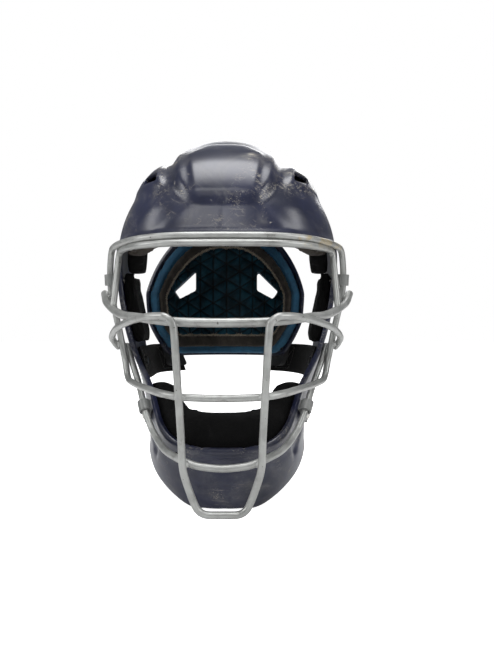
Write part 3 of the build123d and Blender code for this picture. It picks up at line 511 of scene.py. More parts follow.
profile = np.stack([form_rows[:, 0], form_rows[:, 1:4].mean(axis=1)], axis=1)
form_knots = chords(profile)
APEX_KNOT = form_knots[len(FORM_SHARES)]


def form_at(knots, angles):
    """Points of the head form at places along its profile and angles from +X."""
    rows = spline_through(form_knots, form_rows, knots)
    height, half, front, rear, front_square, rear_square = rows.T
    along_x, along_y = np.cos(angles), np.sin(angles)
    reach = np.maximum(np.where(along_y > 0, rear, front), 0.01)
    square = np.where(along_y > 0, rear_square, front_square)
    half = np.maximum(half, 0.01)
    stretch = (np.abs(along_x / half) ** square + np.abs(along_y / reach) ** square) ** (-1 / square)
    return np.stack([along_x * stretch, FORM_MIDDLE + along_y * stretch, height], axis=1)


def form_tangents(knots, angles, nudge=0.02):
    """Directions up the form, round it and out of it."""
    along = unit(form_at(knots + nudge, angles) - form_at(knots - nudge, angles))
    around = unit(form_at(knots, angles + nudge / 100) - form_at(knots, angles - nudge / 100))
    return along, around, unit(np.cross(around, along))


height_knots = np.linspace(0, APEX_KNOT, 800)
height_table = spline_through(form_knots, form_rows, height_knots)[:, 0]


def level_knots(level, count):
    return np.full(count, np.interp(level, height_table, height_knots))


def form_ring(level, inset, start, end, count):
    """Points at a level on the form drawn in by inset, between two angles in degrees."""
    angles = np.radians(np.linspace(start, end, count))
    knots = level_knots(level, count)
    return form_at(knots, angles) - form_tangents(knots, angles)[2] * inset


# Shell outlines seen from the side, as (y, z)
FAR, HIGH = 182.0, 198.0
cheek_line = curve_through(
    [(-60, -10), (-60, -23.3), (-62.4, -47.5), (-81.6, -91), (-105, -123), (-121.2, -135.8),
     (-133, -141.5), (-145, -142.5)], 60, 1, 1)
temple_corner = rounded([(-FAR, 29), (-60, 29), (-60, -23.3)], 10, 8)[:-1]
opening_outline = np.array([*temple_corner, *cheek_line, (-FAR, -142)])
jaw_line = curve_through(
    [(-116, -193.5), (-108, -193.5), (-86.4, -181.4), (-54, -158.1), (-21.6, -124.2), (2.2, -91.2),
     (27, -62), (28.5, -50)], 80, 1, 1)
nape_line = rounded([(27, -62), (27, 26), (92, 74), (FAR, 74)], 12, 26)[1:]
reach_outline = np.array([*jaw_line, *nape_line, (FAR, HIGH), (-FAR, HIGH), (-FAR, -193.5)])
# middle, half sizes and corner radius of the holes seen from the front, on both sides
VENTS = [(65, 87, 7.0, 5.2, 2.0), (40, -147.5, 5.5, 1.7, 1.6)]


def box_distance(x, z, middle_x, middle_z, half_x, half_z, corner):
    over_x = np.abs(x - middle_x) - half_x + corner
    over_z = np.abs(z - middle_z) - half_z + corner
    outside = np.hypot(np.maximum(over_x, 0), np.maximum(over_z, 0))
    return outside + np.minimum(np.maximum(over_x, over_z), 0) - corner


def cut_depth(spots):
    """How deep a place of the form lies in what is cut away; below zero it is kept."""
    side_view = spots[:, 1:3]
    depth = np.maximum(
        outline_distance(side_view, reach_outline), -outline_distance(side_view, opening_outline))
    for vent in VENTS:
        hole = -box_distance(np.abs(spots[:, 0]), spots[:, 2], *vent)
        depth = np.maximum(depth, np.where(spots[:, 1] < 10, hole, -50))
    return depth


def soft_max(*values, blur=2.2):
    return blur * np.log(sum(np.exp(np.clip(value / blur, -60, 60)) for value in values))


def line_side(x, z, start, end):
    """Distance to the right of a line in the front view."""
    run = math.dist(start, end)
    return ((x - start[0]) * (end[1] - start[1]) - (z - start[1]) * (end[0] - start[0])) / run


PANEL_FOOT, PANEL_HALF, PANEL_WAIST, PANEL_SHOULDER = 57.6, 51, (45, 75.6), (51, 117)
SHIELD_FOOT, SHIELD_EDGE, SHIELD_TOP = (27, 70), (33, 107), (20, 117)
SCOOP_FOOT, SCOOP_TOP, CREASE_END = (17, -187), (24, -171), (52, -150)
POCKET_FOOT, POCKET_TOP = (59, -158), (66, -143)
# start, end and height of the folds that run down and out from the panel over the brow
FOLDS = [((34, 57), (62, 30), 0.9), ((58, 66), (88, 34), 0.8)]
# louvre ledges under and over each side vent: middle, half sizes, corner radius and height
LEDGES = [((68, 79, 14, 1.6, 1.4), 1.2), ((66, 96, 11, 1.3, 1.2), 0.8)]


def panel_distances(spots):
    """Distances outside the crown panel, the shield in it and the shoulders, in the front view."""
    half, z = np.abs(spots[:, 0]), spots[:, 2]
    waist = line_side(half, z, (30, PANEL_FOOT), PANEL_WAIST)
    flank = line_side(half, z, PANEL_WAIST, PANEL_SHOULDER)
    panel = soft_max(PANEL_FOOT - z, waist, flank, half - PANEL_HALF)
    shield = soft_max(66 - z, line_side(half, z, SHIELD_FOOT, SHIELD_EDGE),
                      line_side(half, z, SHIELD_EDGE, SHIELD_TOP), z - 120, blur=0.7)
    shoulder = soft_max(68 - z, 4.5 - soft_max(flank, half - PANEL_HALF))
    return panel, shield, shoulder


def relief(spots):
    """How far the moulded surface stands off the plain form."""
    x, y, z = spots.T
    half = np.abs(x)
    front = y < -40
    panel, shield, shoulder = panel_distances(spots)
    rise = 2.3 * ease(-panel / 2.6) + 2.3 * ease((-panel - 3.6) / 2.6)
    rise += 1.4 * ease(-shield / 2.2) * (y < 20)
    rise += 4.4 * ease(-shoulder / 5.5) * ease((131 - z) / 9) * ease((z - 70) / 20)
    for start, end, height in FOLDS:
        fold = line_side(half, z, start, end)
        rise += height * ease(0.5 + fold / 8) * ease((66 - z) / 10) * ease((z - 26) / 8) * (y < 0)
    for ledge, height in LEDGES:
        rise += height * ease(0.3 - box_distance(half, z, *ledge) / 3.0) * (y < 10)
    # mould line below the panel and down the chin
    rise -= 0.6 * np.exp(-((x + 1) / 1.2) ** 2) * front * ease((56 - z) / 2) * (z > 0)
    rise -= 0.6 * np.exp(-(x / 1.2) ** 2) * front * (z < -120)
    # raised lip round the face opening
    edge = outline_distance(spots[:, 1:3], opening_outline)
    rise += 2.0 * ease((8.0 - edge) / 2.6) - 0.9 * ease((1.4 - edge) / 1.4)
    # chin: scoop, creases and side pockets
    scoop = soft_max(-187 - z, z + 171, line_side(half, z, SCOOP_FOOT, SCOOP_TOP), blur=1.0)
    rise -= 2.0 * ease(-scoop / 2.2) * front
    crease = line_side(half, z, SCOOP_TOP, CREASE_END)
    rise += 1.3 * ease(crease / 2.4) * ease((-148 - z) / 6) * front * (half > 20)
    pocket = soft_max(-158 - z, line_side(half, z, POCKET_FOOT, POCKET_TOP), 57 - half, blur=0.8)
    rise -= 1.8 * ease(-pocket / 2.0) * front * (z < -130)
    return rise


# middle of a knocked place in the front view, its reach and how worn it is
KNOCKS = [
    (-43, 104, 10, 16, 0.9), (44, 106, 9, 17, 1.0), (8, 126, 26, 9, 0.7), (19, 104, 5, 14, 1.0),
    (0, 64, 30, 5, 0.8), (-68, 96, 14, 10, 0.6), (70, 80, 12, 14, 0.8), (-72, 62, 16, 10, 0.5),
    (60, 56, 12, 8, 0.6), (-20, 48, 12, 8, 0.7), (36, 46, 10, 8, 0.8), (-88, 58, 10, 14, 0.6),
    (92, 60, 10, 14, 0.6), (30, -172, 14, 8, 0.6), (-28, -168, 10, 12, 0.4), (0, -183, 16, 5, 0.6),
]


def wear_at(spots):
    """How knocked each place is: on edges of the mouldings and where it has hit the ground."""
    panel, shield, shoulder = panel_distances(spots)
    edges = np.exp(-((panel + 3) / 4.0) ** 2) * 0.65 + np.exp(-(shield / 2.5) ** 2) * 0.35
    edges += np.exp(-((shoulder + 2) / 4.0) ** 2) * 0.45
    wear = 0.12 + edges * (spots[:, 2] > 40)
    for x, z, reach_x, reach_z, amount in KNOCKS:
        away = ((spots[:, 0] - x) / reach_x) ** 2 + ((spots[:, 2] - z) / reach_z) ** 2
        wear = np.maximum(wear, amount * np.exp(-away) * (spots[:, 1] < 30))
    back = (spots[:, 1] > 30) * (0.25 + 0.3 * np.exp(-((spots[:, 2] - 120) / 14) ** 2))
    return np.clip(np.maximum(wear, back), 0, 1)


CELL = 1.3  # size of the shell's grid
SHELL_SPLIT = [((0, 1, 2), (0, 2, 3)), ((1, 2, 3), (1, 3, 0))]


def snapped(spots, along, around):
    """Grid points near an outline moved onto it, and every point's depth."""
    nudge = 0.05
    depth = cut_depth(spots)
    for _ in range(2):
        slopes = [(cut_depth(spots + way * nudge) - cut_depth(spots - way * nudge)) / nudge / 2
                  for way in (along, around)]
        steep = slopes[0] ** 2 + slopes[1] ** 2
        near = (np.abs(depth) / np.sqrt(np.maximum(steep, 1e-6)) < CELL * 0.62) & (steep > 0.01)
        move = (along * slopes[0][:, None] + around * slopes[1][:, None]) * (
            depth / np.maximum(steep, 1e-6))[:, None]
        spots = np.where(near[:, None], spots - move, spots)
        depth = cut_depth(spots)
    return spots, np.where(near | (np.abs(depth) < 0.05), 0.0, depth)


def kept_faces(index, depth):
    """Grid faces that are kept, with those across an outline cut corner to corner."""
    quads = grid_quads(index)
    least, most = depth[quads].min(axis=1), depth[quads].max(axis=1)
    faces = quads[(most <= 0) & (least < 0)].tolist()
    for quad in quads[(least < 0) & (most > 0)]:
        on_line = depth[quad] == 0
        for corners in SHELL_SPLIT[int(on_line[1::2].any() > on_line[::2].any())]:
            chosen = quad[list(corners)]
            if depth[chosen].max() <= 0 or depth[chosen].mean() < -0.15 * CELL:
                faces.append(chosen.tolist())
    return faces


def smoothed(block, steps):
    """Grid of values that closes on itself sideways, evened out."""
    for _ in range(steps):
        tall = np.pad(block, ((1, 1), (0, 0)), mode="edge")
        aside = np.roll(block, 1, axis=1) + np.roll(block, -1, axis=1)
        block = (2 * block + aside + tall[:-2] + tall[2:]) / 6
    return block


def front_shell():
    """Moulded shell as a fine grid on the form, trimmed exactly at its outlines."""
    rows = np.arange(3.0, APEX_KNOT - 0.6, CELL)
    sweep = np.linspace(-math.pi, math.pi, 4000)
    section = form_at(level_knots(0, len(sweep)), sweep)
    # the back of the shell has wider cells than its front
    density = np.where(section[1:, 1] < 20, 1, 0.5)
    weights = np.concatenate([[0], np.cumsum(np.diff(chords(section)) * density)])
    columns = np.interp(np.arange(0, weights[-1], CELL), weights, sweep)
    row_grid, column_grid = np.meshgrid(rows, columns, indexing="ij")
    knots, angles = row_grid.ravel(), column_grid.ravel()
    along, around, normal = form_tangents(knots, angles)
    spots, depth = snapped(form_at(knots, angles), along, around)
    index = np.arange(len(spots)).reshape(row_grid.shape)
    faces = kept_faces(index, depth)
    pole = len(spots)
    faces += [[int(first), int(second), pole] for first, second in zip(index[-1], np.roll(index[-1], -1))]
    spots = np.vstack([spots, [0, FORM_MIDDLE, CROWN_HEIGHT]])
    normal = np.vstack([normal, [0, 0, 1]])
    rise = relief(spots)
    rise[:-1] = smoothed(rise[:-1].reshape(row_grid.shape), 6).ravel()
    wear = wear_at(spots)
    spots = spots + normal * rise[:, None]
    used = np.unique(np.concatenate([np.array(face) for face in faces]))
    renumber = np.full(len(spots), -1)
    renumber[used] = np.arange(len(used))
    faces = [[int(renumber[k]) for k in face] for face in faces]
    piece = new_piece("shell_moulding", spots[used], faces)
    store(piece, "wear", wear[used])
    assign(piece.modifiers.new("wall", "SOLIDIFY"), thickness=0.0038, offset=-1)
    assign(piece.modifiers.new("edge", "BEVEL"), width=0.0008, segments=2,
           limit_method="ANGLE", angle_limit=math.radians(72))
    apply_modifiers(piece)
    smooth(piece, 60)
    settle(piece, navy, "helmet", "shell", "front_shell")


front_shell()

# Cage wires: radius and right half of each route, as shares of CAGE along x, y and z
CAGE = (106.0, -122.0, 194.0)
ROUTES = {
    "brow_wire": (2.9, [
        (0.000, 1.049, 0.160), (0.396, 1.033, 0.160), (0.679, 0.934, 0.157), (0.887, 0.738, 0.152),
        (1.000, 0.508, 0.147), (1.024, 0.467, 0.041), (1.014, 0.463, -0.067), (0.967, 0.471, -0.170),
        (0.927, 0.488, -0.258), (0.896, 0.500, -0.340)]),
    "mid_bar": (2.9, [
        (0.000, 1.302, -0.500), (0.302, 1.286, -0.496), (0.462, 1.205, -0.485), (0.575, 1.049, -0.479),
        (0.717, 0.820, -0.474), (0.840, 0.574, -0.466), (0.877, 0.512, -0.381), (0.896, 0.500, -0.340)]),
    "brow_bar": (2.9, [
        (0.000, 1.061, 0.128), (0.396, 1.045, 0.128), (0.660, 0.951, 0.127), (0.811, 0.803, 0.127),
        (0.901, 0.615, 0.131), (0.910, 0.656, 0.041), (0.925, 0.725, -0.122)]),
    "eye_bar": (3.5, [
        (0.000, 1.311, -0.206), (0.283, 1.303, -0.204), (0.472, 1.246, -0.196), (0.660, 1.107, -0.180),
        (0.774, 0.967, -0.174), (0.877, 0.820, -0.155), (0.972, 0.656, -0.126), (1.033, 0.549, -0.103),
        (1.085, 0.410, -0.059)]),
    "lower_bar": (2.9, [
        (0.000, 1.258, -0.780), (0.189, 1.254, -0.768), (0.292, 1.236, -0.749), (0.429, 1.074, -0.737),
        (0.509, 0.943, -0.714), (0.585, 0.844, -0.668)]),
    "centre_loop": (2.9, [
        (0.165, 1.270, -0.957), (0.233, 1.274, -0.867), (0.285, 1.280, -0.777), (0.288, 1.299, -0.660),
        (0.326, 1.361, -0.276),
        (0.338, 1.361, -0.205), (0.396, 1.355, -0.181), (0.515, 1.298, -0.180), (0.656, 1.183, -0.193),
        (0.792, 0.972, -0.211), (0.877, 0.820, -0.227), (0.948, 0.656, -0.251), (0.981, 0.566, -0.271),
        (0.972, 0.500, -0.296), (0.953, 0.467, -0.314)]),
    "jaw_wire_right": (2.9, [
        (0.870, 0.464, -0.309), (0.828, 0.488, -0.381), (0.752, 0.574, -0.474), (0.698, 0.680, -0.536),
        (0.651, 0.762, -0.603), (0.585, 0.844, -0.668)]),
}


def wire_line(name):
    """Corner points of a wire, from its left end to its right end."""
    right = np.array(ROUTES[name.replace("left", "right")][1]) * CAGE
    left = right * (-1, 1, 1)
    if name.startswith("jaw_wire"):
        return left if name == "jaw_wire_left" else right
    return np.vstack([left[::-1][:-1] if right[0][0] == 0 else left[::-1], right])


def ring_faces(rings, sides):
    """Faces over rings of points and across the two ends."""
    index = np.arange(rings * sides).reshape(rings, sides)
    return [*grid_quads(index).tolist(), index[0, ::-1].tolist(), index[-1].tolist()]


def tube(line, radius, sides=18, round_ends=True):
    """Round tube along a line, with domed ends."""
    line = np.asarray(line, float)
    way = np.gradient(line, axis=0)
    way /= norm(way, axis=1, keepdims=True)
    radii = np.full(len(line), float(radius))
    if round_ends:
        shares = np.array([0.0, 0.5, 0.85])
        sizes = radius * np.sqrt(1 - (1 - shares) ** 2) + 0.02
        reach = (radius * (1 - shares))[:, None]
        line = np.vstack([line[0] - way[0] * reach, line, (line[-1] + way[-1] * reach)[::-1]])
        way = np.vstack([[way[0]] * 3, way, [way[-1]] * 3])
        radii = np.concatenate([sizes, radii, sizes[::-1]])
    side = np.cross(way[0], (0, 0, 1.0))
    if norm(side) < 0.1:
        side = np.cross(way[0], (0, 1.0, 0))
    spots = []
    turns = np.linspace(0, 2 * math.pi, sides, endpoint=False)
    for centre, ahead, size in zip(line, way, radii):
        side = side - ahead * (side @ ahead)
        side /= norm(side)
        other = np.cross(ahead, side)
        spots += [centre + size * (math.cos(turn) * side + math.sin(turn) * other) for turn in turns]
    return spots, ring_faces(len(line), sides)


def merged(parts):
    """Several sets of points and faces as one."""
    spots, faces = [], []
    for part_spots, part_faces in parts:
        shift = len(spots)
        spots += [tuple(spot) for spot in part_spots]
        faces += [[index + shift for index in face] for face in part_faces]
    return spots, faces


wire_lines = {}
for wire_name in [*ROUTES, "jaw_wire_left"]:
    radius = ROUTES[wire_name.replace("left", "right")][0]
    wire_lines[wire_name] = rounded(wire_line(wire_name), 8)
    rod = new_piece(f"{wire_name}_rod", *tube(wire_lines[wire_name], radius))
    settle(rod, wire_paint, "helmet", "wire", wire_name)

# Weld beads where wires meet, on both sides
WELDS = [
    ("brow_wire", "eye_bar"), ("brow_bar", "eye_bar"), ("centre_loop", "eye_bar"),
    ("centre_loop", "mid_bar"), ("centre_loop", "lower_bar"), ("jaw_wire_right", "mid_bar"),
    ("brow_wire", "centre_loop"), ("brow_wire", "jaw_wire_right"), ("jaw_wire_right", "lower_bar"),
]


def dense(line, spacing=1.0):
    """Line with evenly spaced points."""
    knots = chords(line)
    at = np.arange(0, knots[-1], spacing)
    return np.stack([np.interp(at, knots, line[:, k]) for k in range(3)], axis=1)


def bead(centre, way, seed):
    """Small lumpy ridge of weld metal."""
    rows, columns, size = 9, 12, np.array([4.6, 2.7, 2.7])
    way = way / norm(way)
    side = np.cross(way, (0.3, 0.2, 0.9))
    side /= norm(side)
    axes = np.array([way, side, np.cross(way, side)])
    spots = []
    for row in range(rows):
        tilt = math.pi * (row + 0.5) / rows
        for column in range(columns):
            turn = 2 * math.pi * column / columns
            spot = np.array([1 / math.tan(tilt), math.cos(turn), math.sin(turn)]) * math.sin(tilt)
            lump = 1 + 0.22 * noise.noise(Vector(spot * 1.7 + seed))
            spots.append(centre + (spot * lump * size) @ axes)
    return spots, ring_faces(rows, columns)


beads = []
for number, (first, second) in enumerate(WELDS):
    one, other = dense(wire_lines[first]), dense(wire_lines[second])
    one, other = one[one[:, 0] > 3], other[other[:, 0] > 3]
    gaps = norm(one[:, None] - other[None], axis=2)
    i, j = np.unravel_index(gaps.argmin(), gaps.shape)
    middle = (one[i] + other[j]) / 2
    way = other[min(j + 2, len(other) - 1)] - other[max(j - 2, 0)]
    for side in (1, -1):
        flip = np.array([side, 1, 1])
        beads.append(bead(middle * flip, way * flip, number + side * 0.37))
settle(new_piece("weld_beads", *merged(beads)), wire_paint, "helmet", "wire")


# Small hard pieces keep the part's own shapes
def dress(material, *names):
    for name in names:
        if not nodes[name].material_slots:
            nodes[name].data.materials.append(material)
        for slot in nodes[name].material_slots:
            slot.material = material


dress(clip_coating, "temple_clip_left", "temple_clip_right", "jaw_clip_left", "jaw_clip_right")
dress(steel, "clip_screws", "clip_nuts")
dress(rivet_paint, "wing_rivets", "crown_rivets", "anchor_rivets", "plate_rivets")
dress(plate_navy, "rear_shell")
dress(anchor_plastic, "strap_anchor_left", "strap_anchor_right")

# share of the part's width that the measured dome has, by height
DOME_FIT = [(0, 1.0), (30, 0.975), (50, 0.955), (75, 0.87), (95, 0.79), (117, 0.80), (138, 0.82)]


# Soft pieces: remeshed from the part's solids, eased, swollen and sewn
def remeshed(node_name, piece_name, voxel, ease_steps):
    """New object with the shape of a node in even small faces."""
    piece = show(piece_name, nodes[node_name].data.copy())
    assign(piece.modifiers.new("remesh", "REMESH"), mode="VOXEL", voxel_size=voxel * MM)
    assign(piece.modifiers.new("ease", "SMOOTH"), factor=0.5, iterations=ease_steps)
    apply_modifiers(piece)
    smooth(piece)
    return piece


def refit(piece):
    """Draw a soft piece in to the width of the measured dome."""
    spots = get_spots(piece.data)
    levels, shares = np.array(DOME_FIT).T
    spots[:, 0] *= np.interp(spots[:, 2], levels, shares)
    set_spots(piece.data, spots)


# node: voxel, easing, cap of swelling, fill, finer steps, material
PADS = {
    "forehead_pad": (3.5, 5, 2.5, 0.8, 2, brown_cloth),
    "temple_pad_left": (3.0, 5, 2.5, 0.8, 1, black_cloth),
    "temple_pad_right": (3.0, 5, 2.5, 0.8, 1, black_cloth),
    "side_pad_left": (3.0, 4, 2.5, 0.7, 1, black_cloth),
    "side_pad_right": (3.0, 4, 2.5, 0.7, 1, black_cloth),
    "chin_pad": (3.2, 6, 3.5, 0.8, 2, chin_cloth),
    "crown_pad": (3.5, 4, 2.5, 0.8, 1, black_cloth),
}
CLOTH_STEPS = 20
SKIN = 0.8  # how far a cushion starts below its solid, and all it may swell towards the shell

cushions, starts = {}, {}
for node_name, (voxel, ease_steps, *_) in PADS.items():
    pad = cushions[node_name] = remeshed(node_name, f"{node_name}_cushion", voxel, ease_steps)
    starts[node_name] = get_spots(pad.data) - get_normals(pad.data) * SKIN
    set_spots(pad.data, starts[node_name])
    cloth = pad.modifiers.new("cloth", "CLOTH")
    assign(cloth.settings, quality=4, mass=0.3, tension_stiffness=12, compression_stiffness=12,
           bending_stiffness=0.4, use_pressure=True, uniform_pressure_force=4)
    cloth.settings.effector_weights.gravity = 0
    cloth.collision_settings.use_collision = False
    assign(cloth.point_cache, frame_start=1, frame_end=CLOTH_STEPS)
for step in range(1, CLOTH_STEPS + 1):
    scene.frame_set(step)

for node_name, (_, _, cap, _, finer_steps, _) in PADS.items():
    pad, start = cushions[node_name], starts[node_name]
    apply_modifiers(pad)
    towards_shell = np.einsum("ij,ij->i", get_normals(pad.data), unit(start - (0, FORM_MIDDLE, 0)))
    allowed = np.where(towards_shell > 0.5, SKIN, cap)[:, None]
    move = get_spots(pad.data) - start
    length = norm(move, axis=1, keepdims=True) + 1e-9
    set_spots(pad.data, start + move * np.minimum(1, allowed / length))
    assign(pad.modifiers.new("finer", "SUBSURF"), levels=finer_steps, render_levels=finer_steps)
    apply_modifiers(pad)
    smooth(pad)
    refit(pad)


def surface_tree(piece):
    return BVHTree.FromObject(piece, bpy.context.evaluated_depsgraph_get())


def onto(piece, line):
    """A line laid onto a piece's surface, with the surface's normals."""
    bpy.context.view_layer.update()
    tree = surface_tree(piece)
    hits = [tree.find_nearest(Vector(spot) * MM) for spot in line]
    return np.array([hit[0] for hit in hits]) / MM, np.array([hit[1] for hit in hits])


def distance_to(spots, line):
    """Distance of every point to a line."""
    nearest = np.full(len(spots), FAR_AWAY)
    for start, end in zip(line, line[1:]):
        run = end - start
        share = np.clip((spots - start) @ run / max(run @ run, 1e-9), 0, 1)
        nearest = np.minimum(nearest, norm(spots - start - share[:, None] * run, axis=1))
    return nearest


def stitch_parts(line, normals, length=2.6, gap=1.3, radius=0.35, lift=0.25):
    """Short threads laid end to end along a line."""
    knots = chords(line)
    parts, at = [], 0.5
    while at + length < knots[-1]:
        rows = []
        for share, height in ((0, -0.35), (0.25, lift), (0.75, lift), (1, -0.35)):
            place = at + share * length
            spot, up = (np.array([np.interp(place, knots, rows_of[:, k]) for k in range(3)])
                        for rows_of in (line, normals))
            rows.append(spot + unit(up) * height)
        parts.append(tube(np.array(rows), radius, 6, False))
        at += length + gap
    return parts


# seams: under the forehead pad, along its inner face, and just below the chin pad's upper edge
chin_edge = form_ring(-124, 19.3, -158, -22, 110)
chin_edge[:, 2] += 26 * ((np.abs(chin_edge[:, 0]) / 62) ** 2).clip(0, 1)
SEAM_DEPTH = 1.2
for node_name, thread_name, line, width in (
    ("forehead_pad", "forehead_seam_thread", form_ring(30.5, 13.5, -150, -30, 120), 1.6),
    ("forehead_pad", "forehead_face_thread", form_ring(46, 23.3, -146, -34, 110), 1.6),
    ("chin_pad", "chin_pad_thread", chin_edge, 1.8),
):
    cushion = cushions[node_name]
    laid, _ = onto(cushion, line)
    spots, normals = get_spots(cushion.data), get_normals(cushion.data)
    sink = SEAM_DEPTH * np.exp(-(distance_to(spots, laid) / width) ** 2)
    set_spots(cushion.data, spots - normals * sink[:, None])
    stitches = new_piece(thread_name, *merged(stitch_parts(*onto(cushion, laid))))
    settle(stitches, black_thread, "helmet", "pad")

for node_name, (_, _, _, fill, _, material) in PADS.items():
    settle(cushions[node_name], material, "helmet", "pad", node_name)

crown_foam = remeshed("crown_foam", "crown_foam_layer", 3.0, 3)
refit(crown_foam)
settle(crown_foam, crown_foam_blue, "helmet", "foam", "crown_foam")

# Rear plate's soft layers
PLATE_SHIFT, PLATE_AXIS, PLATE_RADIUS, PLATE_ARC, PLATE_ARC_LEVEL = -6.0, 32.4, 94.6, 340.0, 5.0
rear_foam = remeshed("rear_foam", "rear_foam_layer", 1.6, 3)
settle(rear_foam, blue_foam, "back_plate", "rear_foam", "rear_foam")


def lumps(spot, scale, shift=0.0):
    return noise.noise(Vector(spot * scale + shift))


border = remeshed("rear_border", "rear_border_pad", 1.4, 6)
spots = get_spots(border.data)
fluff = np.array([lumps(spot, 0.35) + 0.5 * lumps(spot, 0.9) for spot in spots])
set_spots(border.data, spots + get_normals(border.data) * (0.9 + 0.35 * fluff)[:, None])


def plate_reach(inset, level):
    arc = PLATE_ARC - inset
    return PLATE_RADIUS - PLATE_ARC + np.sqrt(arc ** 2 - (level - PLATE_ARC_LEVEL) ** 2)


def inset_outline(spots, amount):
    """Open outline with every run moved to its right by an amount."""
    spots = [np.array(spot, float) for spot in spots]
    moved = []
    for start, end in zip(spots, spots[1:]):
        run = (end - start) / norm(end - start)
        shift = np.array([-run[1], run[0]]) * amount
        moved.append((start + shift, run))
    line = [moved[0][0]]
    for (first, first_run), (second, second_run) in zip(moved, moved[1:]):
        grid = np.stack([first_run, -second_run], axis=1)
        share = np.linalg.solve(grid, second - first)[0]
        line.append(first + first_run * share)
    last, last_run = moved[-1]
    line.append(last + last_run * norm(spots[-1] - spots[-2]))
    return np.array(line)


PLATE_EDGE = [(140, 66), (101, 66), (61, -4), (61, -36), (84, -76), (140, -76)]
PLATE_FOOT = -76


def plate_path(rim, foot, inset):
    """Closed line on the plate's form, a distance inside its edge and another above its foot."""
    edge = [(y, max(z, foot + PLATE_FOOT - rim)) for y, z in PLATE_EDGE]
    edge[4] = (84 - (edge[4][1] - PLATE_FOOT) * 23 / 40, edge[4][1])
    side = rounded(inset_outline(edge, rim), 8, 6)
    knots = chords(side)
    at = np.linspace(0, knots[-1], 400)
    y, z = np.interp(at, knots, side[:, 0]), np.interp(at, knots, side[:, 1])
    reach = plate_reach(inset, z)
    inside = np.abs(y - PLATE_AXIS) < reach
    y, z, reach = y[inside], z[inside], reach[inside]
    x = np.sqrt(np.maximum(reach ** 2 - (y - PLATE_AXIS) ** 2, 0))
    right = np.stack([PLATE_SHIFT + x, y, z], axis=1)
    left = np.stack([PLATE_SHIFT - x, y, z], axis=1)
    return np.vstack([right, left[::-1], right[:1]])


# the border's inner edge: a lumpy binding cord with slanting loops of thread over it
laid, _ = onto(border, plate_path(10.2, 24.2, 15))
cord, cord_faces = tube(dense(laid, 1.2), 1.15, 8, False)
cord = np.array(cord)
cord += np.array([[lumps(spot, 1.3, k * 7.0) for k in range(3)] for spot in cord]) * 0.7
settle(new_piece("border_binding", cord, cord_faces), tan_thread, "back_plate", "border")
# reach across the cord and height over it
LOOP = [(-2.6, -0.3), (-1.4, 1.1), (0, 1.6), (1.4, 1.1), (2.4, -0.3)]
overlock = []
loop_line = dense(laid, 1.9)
for number, (spot, following) in enumerate(zip(loop_line, loop_line[1:])):
    ahead = unit(following - spot)
    up = unit(np.array([PLATE_SHIFT, PLATE_AXIS, spot[2]]) - spot)
    side = np.cross(ahead, up)
    slant = 0.6 + 0.25 * noise.noise(Vector((number * 0.7, 0, 0)))
    rows = [spot + side * reach + up * height + ahead * reach * slant * 0.4 for reach, height in LOOP]
    overlock.append(tube(np.array(rows), 0.32, 5, False))
settle(new_piece("border_overlock", *merged(overlock)), tan_thread, "back_plate", "border")
settle(border, felt_cloth, "back_plate", "border", "rear_border")

# liner: grooves in three directions between pods, on the face towards the head
POD, LINER_RADIUS = 16.5, 78
liner = remeshed("rear_liner", "rear_liner_pods", 1.15, 3)
spots, normals = get_spots(liner.data), get_normals(liner.data)
outward = (spots - (PLATE_SHIFT, PLATE_AXIS, 0)) * (1, 1, 0)
inner_face = ease((-np.einsum("ij,ij->i", unit(outward), normals) - 0.3) / 0.3)
walked = np.arctan2(outward[:, 0], outward[:, 1]) * LINER_RADIUS
nearest = np.full(len(spots), FAR_AWAY)
for turn in np.radians((0, 60, 120)):
    across = walked * math.cos(turn) + (spots[:, 2] + 3) * math.sin(turn)
    nearest = np.minimum(nearest, np.abs((across / POD + 0.5) % 1 - 0.5) * POD)
groove_and_shade = (1 - ease((nearest - 0.25) / 0.95)) * inner_face
pillow = ease(nearest / 4.5) * 0.8 * inner_face
set_spots(liner.data, spots + normals * (pillow - 1.4 * groove_and_shade)[:, None])
# the groove mask also tells the liner's material where to paint shade in the grooves
store(liner, "groove_and_shade", groove_and_shade)
settle(liner, liner_rubber, "back_plate", "liner", "rear_liner")

# Straps, modelled directly along the middle of their solids
STRAP_THICK = 1.9
BAND_ROWS, BAND_COLUMNS = 90, 26
INSIDE = 40  # a place along y between the head and the crown strap
STITCH_COLUMNS, STITCH_HEIGHT = (3, 22), 1.0


def band_grid(node_name, start, end, low, high, way, across):
    """Middle surface of a strap, met by rays along way; across is the axis of its width."""
    tree, way = surface_tree(nodes[node_name]), Vector(way)
    widths = np.linspace(low, high, BAND_COLUMNS)
    rows = []
    for length in np.linspace(start, end, BAND_ROWS):
        row = []
        for width in widths:
            place = (0, length, width) if across == 2 else (width, INSIDE, length)
            first = tree.ray_cast(Vector(place) * MM, way)[0]
            if first is not None:
                second = tree.ray_cast(first + way * 0.0001, way)[0] or first
                first = np.array((first + second) / 2) / MM
            row.append(first)
        known = [spot for spot in row if spot is not None]
        if known:
            rows.append([min(known, key=lambda spot: abs(spot[across] - width)) for width in widths])
    grid = np.array(rows)
    for _ in range(4):
        grid[1:-1] = (grid[:-2] + 2 * grid[1:-1] + grid[2:]) / 4
    return grid


def grid_normals(grid):
    return unit(np.cross(np.gradient(grid, axis=0), np.gradient(grid, axis=1)))


